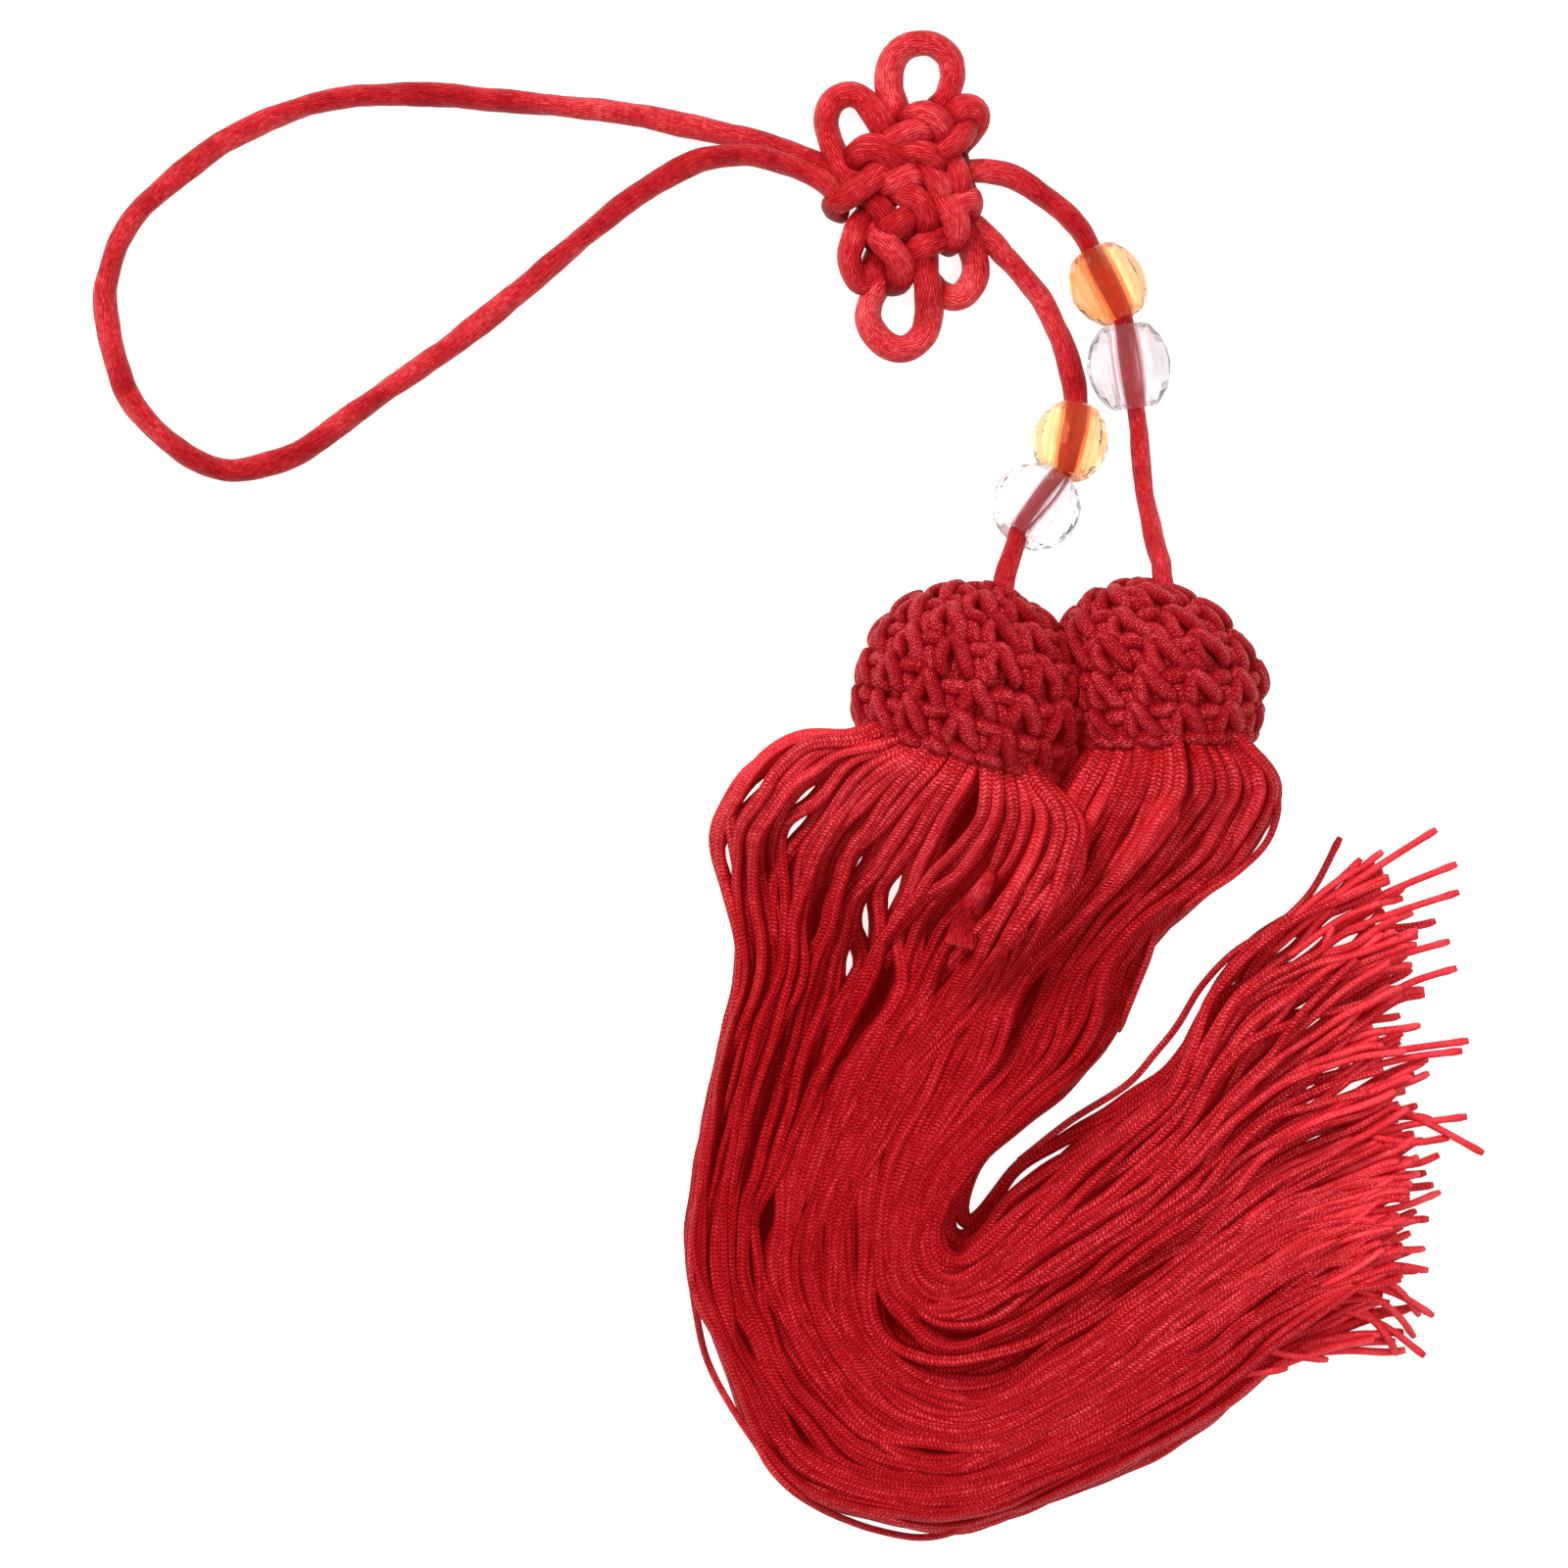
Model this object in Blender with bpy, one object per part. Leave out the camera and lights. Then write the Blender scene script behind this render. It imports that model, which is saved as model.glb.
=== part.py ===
"""A double silk tassel: a hanging loop, a mystic knot, two beaded drop cords and two tassels.

It lies on the surface z = 0, seen from above with the hanging loop to the upper left and
the tassels curling round to the lower right. Metres, +Z up.
"""
import math
import random

import bmesh
import bpy
from mathutils import Matrix, Vector

MM = 0.001

# Cord and strands.
CORD_DIAMETER = 3.0 * MM
FIT_GAP = 0.4 * MM
KNOT_LOW = 1.5 * MM
KNOT_HIGH = 4.4 * MM
KNOT_POINT_SPACING = 3.0 * MM
CORD_POINT_SPACING = 6.0 * MM
DROP_POINT_SPACING = 3.2 * MM

# Beads: a hole that the cord passes with room to spare, and sixteen tall facets.
BEAD_BORE = 4.3 * MM
BEAD_SIDES = 16

# Heads: a crocheted cap is a ball cut off at its rim, this far round from its top.
STITCHES_ROUND = 14
STITCH_ROWS = 6
STEPS_PER_STITCH = 3
STITCH_RELIEF = 0.9 * MM
RIM_RING = STITCH_ROWS * STEPS_PER_STITCH
SPHERE_RINGS = 27
RIM_ANGLE = math.pi * RIM_RING / SPHERE_RINGS

# Collars and strands of the skirts.
COLLAR_THICKNESS = 2.2 * MM
COLLAR_FIT = 0.96
LAYERS = 3
STRAND_THICKNESS = 2.1 * MM
STRAND_FILL = 0.82
WIDEST_STRAND = 2.3 * MM
SKIRT_PARTING = 0.45 * MM

RED = (0.60, 0.012, 0.022, 1.0)
CRIMSON = (0.50, 0.010, 0.020, 1.0)
AMBER = (0.95, 0.36, 0.10, 1.0)
CLEAR = (0.93, 0.90, 0.92, 1.0)


def clear_scene():
    for obj in list(bpy.data.objects):
        bpy.data.objects.remove(obj, do_unlink=True)


def collection(name):
    made = bpy.data.collections.new(name)
    bpy.context.scene.collection.children.link(made)
    return made


def material(name, colour, roughness, alpha=1.0):
    made = bpy.data.materials.new(name)
    made.use_nodes = True
    shader = made.node_tree.nodes["Principled BSDF"]
    shader.inputs["Base Color"].default_value = colour
    shader.inputs["Roughness"].default_value = roughness
    shader.inputs["Metallic"].default_value = 0.0
    shader.inputs["Alpha"].default_value = alpha
    return made


def dense_path(points, steps=12, closed=False):
    """A Catmull-Rom curve through the points, never lower than a cord lies."""
    knots = [Vector(p) for p in points]
    count = len(knots)
    dense = []
    spans = count if closed else count - 1
    for i in range(spans):
        if closed:
            a, b, c, d = (knots[(i + k) % count] for k in (-1, 0, 1, 2))
        else:
            b, c = knots[i], knots[i + 1]
            a = knots[i - 1] if i > 0 else b * 2 - c
            d = knots[i + 2] if i + 2 < count else c * 2 - b
        for k in range(steps):
            t = k / steps
            dense.append(0.5 * (2 * b + (c - a) * t + (2 * a - 5 * b + 4 * c - d) * t ** 2
                                + (3 * b - 3 * c + d - a) * t ** 3))
    dense.append(knots[0] if closed else knots[-1])
    for p in dense:
        p.z = max(p.z, CORD_DIAMETER / 2)
    return dense


def resample(dense, spacing):
    """The same curve at even distances, its two ends kept."""
    lengths = [0.0]
    for p, q in zip(dense, dense[1:]):
        lengths.append(lengths[-1] + (q - p).length)
    parts = max(2, round(lengths[-1] / spacing))
    even, k = [], 0
    for i in range(parts + 1):
        target = lengths[-1] * i / parts
        while k < len(dense) - 2 and lengths[k + 1] < target:
            k += 1
        run = lengths[k + 1] - lengths[k]
        even.append(dense[k].lerp(dense[k + 1], (target - lengths[k]) / run))
    return even


def cord(name, points, spacing, group, finish, closed=False):
    """A round cord as a curve, eight-sided, through the route's points."""
    even = resample(dense_path(points, closed=closed), spacing)
    if closed:
        even.pop()
    curve = bpy.data.curves.new(name, "CURVE")
    curve.dimensions = "3D"
    curve.bevel_depth = CORD_DIAMETER / 2
    curve.bevel_resolution = 2
    curve.use_fill_caps = True
    spline = curve.splines.new("POLY")
    spline.points.add(len(even) - 1)
    for target, p in zip(spline.points, even):
        target.co = (*p, 1.0)
    spline.use_cyclic_u = closed
    curve.materials.append(finish)
    obj = bpy.data.objects.new(name, curve)
    group.objects.link(obj)
    return obj


def as_mesh(curve_object, group):
    """The curve's tube as a closed mesh, so that it can be joined to another."""
    depsgraph = bpy.context.evaluated_depsgraph_get()
    mesh = bpy.data.meshes.new_from_object(curve_object.evaluated_get(depsgraph))
    work = bmesh.new()
    work.from_mesh(mesh)
    bmesh.ops.remove_doubles(work, verts=work.verts, dist=1e-6)
    bmesh.ops.recalc_face_normals(work, faces=work.faces)
    work.to_mesh(mesh)
    work.free()
    name = curve_object.name
    made = bpy.data.objects.new(name + ".mesh", mesh)
    made.matrix_world = curve_object.matrix_world
    group.objects.link(made)
    bpy.data.objects.remove(curve_object, do_unlink=True)
    return made


def combine(target, tool, operation):
    """Bakes one exact Boolean into the target's mesh and removes the tool."""
    step = target.modifiers.new("combine", "BOOLEAN")
    step.operation = operation
    step.solver = "EXACT"
    step.use_self = True
    step.object = tool
    depsgraph = bpy.context.evaluated_depsgraph_get()
    result = bpy.data.meshes.new_from_object(target.evaluated_get(depsgraph))
    target.modifiers.clear()
    old = target.data
    target.data = result
    bpy.data.meshes.remove(old)
    bpy.data.objects.remove(tool, do_unlink=True)


def keep_outer_shell(obj):
    """Fills the small voids shut in between the tubes by dropping their inner shells."""
    work = bmesh.new()
    work.from_mesh(obj.data)
    unseen = set(work.verts)
    shells = []
    while unseen:
        shell, front = set(), [unseen.pop()]
        while front:
            vert = front.pop()
            shell.add(vert)
            near = {edge.other_vert(vert) for edge in vert.link_edges} & unseen
            unseen -= near
            front.extend(near)
        shells.append(shell)
    shells.sort(key=len)
    for shell in shells[:-1]:
        bmesh.ops.delete(work, geom=list(shell), context="VERTS")
    work.to_mesh(obj.data)
    work.free()


def mesh_object(name, work, group, finish):
    """The closed shape as an object, its faces pointing out."""
    bmesh.ops.recalc_face_normals(work, faces=work.faces)
    if work.calc_volume(signed=True) < 0:
        bmesh.ops.reverse_faces(work, faces=work.faces)
    mesh = bpy.data.meshes.new(name)
    work.to_mesh(mesh)
    work.free()
    mesh.materials.append(finish)
    obj = bpy.data.objects.new(name, mesh)
    group.objects.link(obj)
    return obj


def in_mm(points):
    return [Vector(p) * MM for p in points]


# --- The cords -------------------------------------------------------------------------

# The hanging loop's route, from the knot's left corner and back to it (x, y, z in mm).
LOOP_ROUTE = [
    (-32.3, 78.6, 1.5), (-34.6, 79.6, 1.5), (-41.9, 82.1, 1.5), (-50.3, 84.0, 1.5),
    (-58.5, 85.6, 1.5), (-68.6, 86.8, 1.5), (-76.0, 87.4, 1.5), (-85.1, 88.1, 1.5),
    (-96.6, 87.4, 1.5), (-108.1, 83.1, 1.5), (-115.3, 78.2, 1.5), (-121.9, 71.9, 1.5),
    (-124.9, 64.8, 1.5), (-125.0, 59.0, 1.5), (-122.5, 50.2, 1.5), (-118.5, 45.0, 1.5),
    (-113.5, 41.3, 1.5), (-108.5, 40.1, 1.5), (-101.0, 42.1, 1.5), (-95.3, 45.9, 1.5),
    (-88.0, 51.2, 1.5), (-80.1, 56.7, 1.5), (-72.4, 62.8, 1.5), (-65.1, 69.1, 1.5),
    (-58.4, 74.4, 1.7), (-54.4, 77.0, 2.6), (-49.6, 79.5, 3.9), (-44.0, 80.3, 4.5),
    (-39.9, 79.6, 4.6), (-35.2, 77.8, 4.5), (-32.9, 76.5, 4.2),
]

# The drop cord of tassel A, from the knot's right corner to the head's top.
DROP_A_ROUTE = [
    (-11.8, 69.1, 1.5), (-10.4, 67.5, 1.5), (-8.1, 65.0, 1.5), (-5.7, 62.0, 1.6),
    (-3.9, 58.6, 1.8), (-2.4, 54.9, 2.3), (-1.5, 51.0, 3.2), (-1.3, 47.4, 4.1),
    (-1.9, 43.7, 5.0), (-2.6, 40.4, 5.9), (-4.3, 38.1, 7.5), (-6.4, 35.4, 8.9),
    (-8.4, 32.5, 10.2), (-9.4, 29.6, 11.3), (-10.0, 27.8, 11.6), (-10.2, 27.1, 11.6),
]

# The drop cord of tassel B.
DROP_B_ROUTE = [
    (-12.3, 78.3, 1.6), (-9.9, 77.8, 1.5), (-7.7, 76.7, 1.5), (-3.7, 73.8, 2.2),
    (-0.7, 70.8, 3.6), (1.1, 67.3, 4.6), (2.9, 63.8, 5.0), (4.5, 60.4, 5.3),
    (5.1, 57.0, 5.4), (5.6, 53.2, 5.5), (6.2, 49.3, 5.3), (6.7, 45.8, 4.8),
    (7.1, 41.5, 4.1), (7.4, 37.8, 4.3), (8.1, 34.0, 6.0), (8.8, 30.6, 8.6),
    (9.5, 28.2, 10.4), (9.7, 26.6, 10.8),
]


# --- The knot --------------------------------------------------------------------------

# Where the knot's down-right lines (columns 0 to 3) cross its up-right lines (rows 0 to 3),
# x and y in mm. A crossing whose row and column add up to an odd number has the
# down-right line on top.
CROSSINGS = [
    [(-28.0, 76.6), (-26.6, 80.6), (-22.6, 82.9), (-19.2, 84.8)],
    [(-26.1, 73.4), (-23.5, 77.2), (-19.9, 79.2), (-16.6, 80.6)],
    [(-23.9, 70.4), (-21.1, 73.7), (-18.3, 75.5), (-15.9, 77.4)],
    [(-23.2, 66.9), (-19.8, 69.6), (-17.0, 71.8), (-14.9, 74.6)],
]

# The ears and the cord's other turns outside the lattice (x, y, z in mm).
LEFT_BUMP = [(-32.1, 75.8, 4.0), (-31.3, 73.9, 3.0), (-29.8, 74.6, 3.8)]
TOP_EAR = [(-17.6, 86.8, 1.5), (-16.8, 89.4, 1.5), (-17.8, 92.6, 1.5), (-21.0, 94.7, 1.5),
           (-24.0, 93.2, 1.5), (-25.3, 90.4, 1.5), (-24.9, 87.2, 1.5), (-23.8, 84.8, 1.5)]
RIGHT_EAR = [(-15.0, 67.2, 2.2), (-14.9, 64.0, 1.5), (-16.9, 62.1, 1.5), (-19.2, 63.2, 1.5),
             (-20.1, 66.4, 1.5)]
LEFT_EAR = [(-25.9, 82.8, 3.6), (-27.0, 84.9, 1.8), (-28.4, 87.0, 1.5), (-30.3, 88.2, 1.5),
            (-32.3, 87.4, 1.5), (-33.1, 85.3, 1.5), (-32.1, 83.0, 1.5), (-30.2, 80.2, 1.5)]
BOTTOM_EAR = [(-21.4, 64.9, 3.4), (-20.1, 62.6, 1.6), (-20.1, 59.6, 1.5), (-21.4, 56.7, 1.5),
              (-23.8, 55.6, 1.5), (-26.3, 56.8, 1.5), (-27.7, 59.8, 1.5), (-27.2, 62.9, 1.5),
              (-25.6, 65.0, 1.5)]
UPPER_RIGHT_EAR = [(-15.0, 84.4, 3.2), (-14.0, 86.0, 2.4), (-13.6, 84.2, 1.8)]
LOWER_LEFT_EAR = [(-25.6, 66.4, 3.2), (-27.4, 64.6, 1.8), (-29.6, 64.6, 1.5),
                  (-30.2, 67.0, 1.5), (-29.2, 70.0, 1.5)]
STUB_A = [(-13.6, 72.4, 2.8), (-12.4, 69.8, 1.5)]
STUB_B = [(-16.5, 78.1, 1.7), (-14.9, 78.7, 1.5), (-12.85, 78.4, 1.5)]
HIDDEN_TOP_END = [(-21.2, 86.2, 3.0)]
HIDDEN_RIGHT_END = [(-13.8, 73.0, 1.5)]


def down_right(column, backwards=False):
    """The crossings along one down-right line, over and under by turns."""
    points = [(*CROSSINGS[row][column], (KNOT_HIGH if (row + column) % 2 else KNOT_LOW) / MM)
              for row in range(4)]
    return points[::-1] if backwards else points


def up_right(row, backwards=False):
    points = [(*CROSSINGS[row][column], (KNOT_LOW if (row + column) % 2 else KNOT_HIGH) / MM)
              for column in range(4)]
    return points[::-1] if backwards else points


def knot(group, finish):
    """The woven body and its six ears, pulled tight into one piece."""
    main_run = (LEFT_BUMP + up_right(0) + TOP_EAR + down_right(2) + RIGHT_EAR
                + down_right(1, backwards=True) + LEFT_EAR + down_right(0) + BOTTOM_EAR
                + up_right(3) + STUB_A)
    ring_run = (up_right(1) + UPPER_RIGHT_EAR + up_right(2, backwards=True)
                + LOWER_LEFT_EAR)
    last_run = HIDDEN_TOP_END + down_right(3) + HIDDEN_RIGHT_END
    runs = [(main_run, False), (ring_run, True), (last_run, False), (STUB_B, False)]
    tubes = [as_mesh(cord("run", in_mm(points), KNOT_POINT_SPACING, group, finish, closed),
                     group)
             for points, closed in runs]
    whole = tubes[0]
    for tube in tubes[1:]:
        combine(whole, tube, "UNION")
    keep_outer_shell(whole)
    whole.name = "knot"
    return whole


# --- The beads -------------------------------------------------------------------------

# name, centre on the cord (x, y, z in mm), widest diameter, length along the hole, cord
BEADS = [
    ("bead_amber_a", (-1.9, 43.7, 5.0), 9.9, 9.0, "a"),
    ("bead_clear_a", (-6.4, 35.4, 8.9), 11.6, 8.8, "a"),
    ("bead_amber_b", (2.9, 63.8, 5.0), 10.0, 9.2, "b"),
    ("bead_clear_b", (5.6, 53.2, 5.5), 10.9, 9.8, "b"),
]

# A bead's profile from its waist to its mouth, as shares of the radius and half length.
BEAD_PROFILE = [(1.0, 0.0), (0.90, 0.52), (0.56, 1.0)]


def bead(name, centre, width, length, route, group, finish):
    """A faceted bead, turned round its hole and threaded along the cord."""
    dense = dense_path(in_mm(route))
    middle = Vector(centre) * MM
    nearest = min(range(len(dense)), key=lambda i: (dense[i] - middle).length)
    reach = length * MM / 3
    before = next(p for p in reversed(dense[:nearest]) if (p - middle).length > reach)
    after = next(p for p in dense[nearest:] if (p - middle).length > reach)
    outer = [(r * width / 2 * MM, t * length / 2 * MM) for r, t in BEAD_PROFILE]
    profile = outer[:0:-1] + [(r, -t) for r, t in outer]
    bore = BEAD_BORE / 2
    ends = [(bore, profile[-1][1]), (bore, profile[0][1])]
    work = bmesh.new()
    verts = [work.verts.new((r, 0, t)) for r, t in profile + ends]
    edges = [work.edges.new((a, b)) for a, b in zip(verts, verts[1:] + verts[:1])]
    bmesh.ops.spin(work, geom=verts + edges, cent=(0, 0, 0), axis=(0, 0, 1),
                   angle=math.tau, steps=BEAD_SIDES, use_merge=True)
    obj = mesh_object(name, work, group, finish)
    obj.location = (before + after) / 2
    obj.rotation_mode = "QUATERNION"
    obj.rotation_quaternion = (after - before).to_track_quat("Z", "Y")
    return obj


# --- The heads -------------------------------------------------------------------------

# name, centre (x, y, z in mm), half width, half height, half length along its axis, and
# the direction from its top to its rim, in degrees from +X
HEADS = {
    "head_a": {"centre": (-15.0, 11.6, 11.6), "half_width": 14.8, "half_height": 12.0,
               "half_length": 15.0, "heading": -105.9},
    "head_b": {"centre": (10.0, 12.3, 10.8), "half_width": 12.6, "half_height": 11.2,
               "half_length": 13.5, "heading": -90.0},
}
DENT_ROOM = 1.25 * MM


def head_frame(spec):
    """Columns: across the head, up, and towards its top."""
    angle = math.radians(spec["heading"])
    top = -Vector((math.cos(angle), math.sin(angle), 0))
    across = Vector((-top.y, top.x, 0))
    up = Vector((0, 0, 1))
    turn = Matrix((across, up, top)).transposed().to_4x4()
    return Matrix.Translation(Vector(spec["centre"]) * MM) @ turn


def stitch_height(ring, step):
    """Rounded stitches in rows, each row half a stitch round from the last."""
    row, phase = divmod(ring, STEPS_PER_STITCH)
    along = (0.15, 1.0, 0.75)[phase]
    shift = (row % 2) * STEPS_PER_STITCH / 2
    turn = math.tau * (step + shift) / STEPS_PER_STITCH
    across = 0.55 - 0.45 * math.cos(turn)
    fade = min(1.0, ring / STEPS_PER_STITCH - 0.4) if ring > 1 else 0.0
    return STITCH_RELIEF * along * across * fade


def ball(spec, room):
    """The head's plain ball, with room added all round."""
    work = bmesh.new()
    bmesh.ops.create_uvsphere(work, u_segments=24, v_segments=16, radius=1.0)
    sizes = [spec[key] * MM + room for key in ("half_width", "half_height", "half_length")]
    bmesh.ops.scale(work, vec=sizes, verts=work.verts)
    work.transform(head_frame(spec))
    return work


def head(name, spec, group, finish):
    """A crocheted cap: a ball with its stitches raised, flat at its rim and where it lies."""
    columns = STITCHES_ROUND * STEPS_PER_STITCH
    work = bmesh.new()
    bmesh.ops.create_uvsphere(work, u_segments=columns, v_segments=SPHERE_RINGS, radius=1.0)
    below = [v for v in work.verts if math.acos(max(-1, min(1, v.co.z))) > RIM_ANGLE + 0.02]
    bmesh.ops.delete(work, geom=below, context="VERTS")
    bmesh.ops.holes_fill(work, edges=[e for e in work.edges if e.is_boundary], sides=0)
    sizes = Vector([spec[key] * MM for key in ("half_width", "half_height", "half_length")])
    for v in work.verts:
        ring = round(math.acos(max(-1, min(1, v.co.z))) * SPHERE_RINGS / math.pi)
        step = round(math.atan2(v.co.y, v.co.x) * columns / math.tau)
        outward = v.co.normalized()
        relief = stitch_height(ring, step)
        if ring == RIM_RING:
            outward = Vector((outward.x, outward.y, 0)).normalized()
        v.co = v.co * sizes + outward * relief
    work.transform(head_frame(spec))
    for v in work.verts:
        v.co.z = max(v.co.z, 0.0)
    return mesh_object(name, work, group, finish)


# --- The skirts ------------------------------------------------------------------------

# The two skirts side by side, a row for each section across their flow, in mm: the outer
# edge of skirt A, the parting between A and B, the inner edge of skirt B, then the height
# of the underside and of the top of the pile.
#   outer_x  outer_y  part_x  part_y  inner_x  inner_y  under  top
SKIRT_SECTIONS = [
    (-38.0, 4.6, -1.5, -3.6, 24.2, -0.8, 1.4, 18.6),
    (-46.3, -4.4, 0.4, -10.0, 23.5, -9.0, 0.0, 16.0),
    (-46.2, -13.1, -4.1, -17.8, 14.6, -18.1, 0.0, 13.0),
    (-44.1, -23.1, -13.5, -26.9, 8.4, -25.0, 0.0, 11.0),
    (-46.6, -33.8, -21.6, -36.2, 1.8, -35.6, 0.0, 9.6),
    (-50.1, -48.8, -28.0, -48.8, -9.8, -46.9, 0.0, 8.6),
    (-50.7, -60.0, -30.8, -58.1, -14.1, -51.9, 0.0, 8.2),
    (-50.2, -69.4, -30.0, -66.9, -15.2, -55.0, 0.0, 8.0),
    (-44.8, -81.2, -25.4, -74.0, -14.1, -56.2, 0.0, 8.0),
    (-34.8, -91.9, -19.1, -78.1, -12.2, -53.5, 0.0, 8.0),
    (-18.5, -95.6, -11.6, -78.8, -7.9, -48.0, 0.0, 7.8),
    (0.2, -91.2, 0.9, -71.0, 0.0, -42.5, 0.0, 7.6),
    (16.5, -83.8, 14.6, -60.6, 9.6, -32.8, 0.0, 7.4),
    (29.6, -77.5, 27.8, -53.5, 19.6, -20.6, 0.0, 7.2),
    (48.2, -73.6, 50.9, -47.4, 44.8, -4.4, 0.0, 7.2),
]

# Strands side by side in each layer, how far each layer's roots reach across the collar,
# how far its ends reach through the last three sections, and the seed of their unevenness.
SKIRTS = {
    "skirt_a": {"strands": 10, "roots": (0.66, 0.9, 0.66), "seed": 3},
    "skirt_b": {"strands": 8, "roots": (0.66, 0.9, 0.66), "seed": 8},
}
LAYER_REACH = (1.0, 0.9, 0.72)
END_SPREAD = 0.55
ROOT_DEPTH = 1.1 * MM
LAYER_SHIFT = 0.15


def strand(work, sections):
    """One four-sided strand through its sections, each a list of four corners."""
    rings = [[work.verts.new(corner) for corner in section] for section in sections]
    for near, far in zip(rings, rings[1:]):
        for k in range(4):
            work.faces.new((near[k], near[(k + 1) % 4], far[(k + 1) % 4], far[k]))
    work.faces.new(rings[0][::-1])
    work.faces.new(rings[-1])


def corners(left, right, share, width, under, thickness):
    """A strand's four corners where it crosses the line from left to right."""
    line = right - left
    side = line.normalized() * width / 2
    middle = left + line * share
    lift = Vector((0, 0, thickness))
    low = Vector((middle.x, middle.y, under))
    return [low - side, low + side, low + side + lift, low - side + lift]


def skirt(name, spec, head_spec, group, finish):
    """A collar inside the head's rim, and the strands that grow from it."""
    frame = head_frame(head_spec)
    rim_depth = head_spec["half_length"] * MM * -math.cos(RIM_ANGLE) + FIT_GAP
    half_width = head_spec["half_width"] * MM * math.sin(RIM_ANGLE) * COLLAR_FIT
    half_height = head_spec["half_height"] * MM * math.sin(RIM_ANGLE) * COLLAR_FIT
    work = bmesh.new()
    bmesh.ops.create_cone(work, cap_ends=True, segments=24, radius1=1.0, radius2=1.0,
                          depth=COLLAR_THICKNESS)
    bmesh.ops.scale(work, vec=(half_width, half_height, 1.0), verts=work.verts)
    bmesh.ops.translate(work, vec=(0, 0, -rim_depth - COLLAR_THICKNESS / 2),
                        verts=work.verts)
    work.transform(frame)
    collar = mesh_object(name, work, group, finish)

    first, last = (0, 2) if name == "skirt_a" else (2, 4)
    parting = (0.0, -SKIRT_PARTING) if name == "skirt_a" else (SKIRT_PARTING, 0.0)
    edges = []
    for row in SKIRT_SECTIONS:
        left = Vector((*row[first:first + 2], 0)) * MM
        right = Vector((*row[last:last + 2], 0)) * MM
        across = (right - left).normalized()
        edges.append((left + across * parting[0], right + across * parting[1],
                      row[6] * MM, row[7] * MM))
    draw = random.Random(spec["seed"])
    count = spec["strands"]
    bundle = bmesh.new()
    for layer in range(LAYERS):
        level = layer / (LAYERS - 1)
        root_up = (level - 0.5) * 2 * half_height * 0.72
        root_half = half_width * spec["roots"][layer]
        root_left = frame @ Vector((root_half, root_up, -rim_depth - ROOT_DEPTH))
        root_right = frame @ Vector((-root_half, root_up, -rim_depth - ROOT_DEPTH))
        for k in range(count):
            share = (k + 0.5 + LAYER_SHIFT * (1 if layer % 2 else -1)) / count
            width = STRAND_FILL * (root_right - root_left).length / count
            sections = [corners(root_left, root_right, share, width,
                                root_left.z - STRAND_THICKNESS / 2, STRAND_THICKNESS)]
            reach = LAYER_REACH[layer] - END_SPREAD * draw.random() * (0.4 + 0.6 * level)
            stop = len(edges) - 4 + 3 * max(0.2, reach)
            for i, (left, right, under, top) in enumerate(edges):
                if i >= stop:
                    past = stop - (i - 1)
                    before = edges[i - 1]
                    left, right = before[0].lerp(left, past), before[1].lerp(right, past)
                    under = before[2] + (under - before[2]) * past
                    top = before[3] + (top - before[3]) * past
                width = min(WIDEST_STRAND, STRAND_FILL * (right - left).length / count)
                rise = under + level * (top - under - STRAND_THICKNESS)
                sections.append(corners(left, right, share, width, rise, STRAND_THICKNESS))
                if i >= stop:
                    break
            strand(bundle, sections)
    combine(collar, mesh_object(name + ".strands", bundle, group, finish), "UNION")
    return collar


# --- Putting it together ---------------------------------------------------------------

def build():
    clear_scene()
    group = collection("silk_tassel")
    satin = material("satin_cord", RED, 0.42)
    knit = material("knit_cord", CRIMSON, 0.62)
    bead_finish = {"amber": material("amber_bead", AMBER, 0.06, 0.6),
                   "clear": material("clear_bead", CLEAR, 0.04, 0.35)}
    cord("hanging_loop", in_mm(LOOP_ROUTE), CORD_POINT_SPACING, group, satin)
    knot(group, satin)
    routes = {"a": DROP_A_ROUTE, "b": DROP_B_ROUTE}
    for which, route in routes.items():
        cord("drop_cord_" + which, in_mm(route), DROP_POINT_SPACING, group, satin)
    for name, centre, width, length, which in BEADS:
        bead(name, centre, width, length, routes[which], group,
             bead_finish[name.split("_")[1]])
    for name, spec in HEADS.items():
        cap = head(name, spec, group, knit)
        if name == "head_b":
            room = mesh_object("dent", ball(HEADS["head_a"], DENT_ROOM), group, knit)
            combine(cap, room, "DIFFERENCE")
    for name, spec in SKIRTS.items():
        skirt(name, spec, HEADS[name.replace("skirt", "head")], group, knit)


build()
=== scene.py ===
"""A double silk tassel lying on a pale table, seen from straight above.

Satin cord loop, woven knot, two beaded drop cords, two crocheted heads and their strands.
"""

from collections import namedtuple
import math

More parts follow.
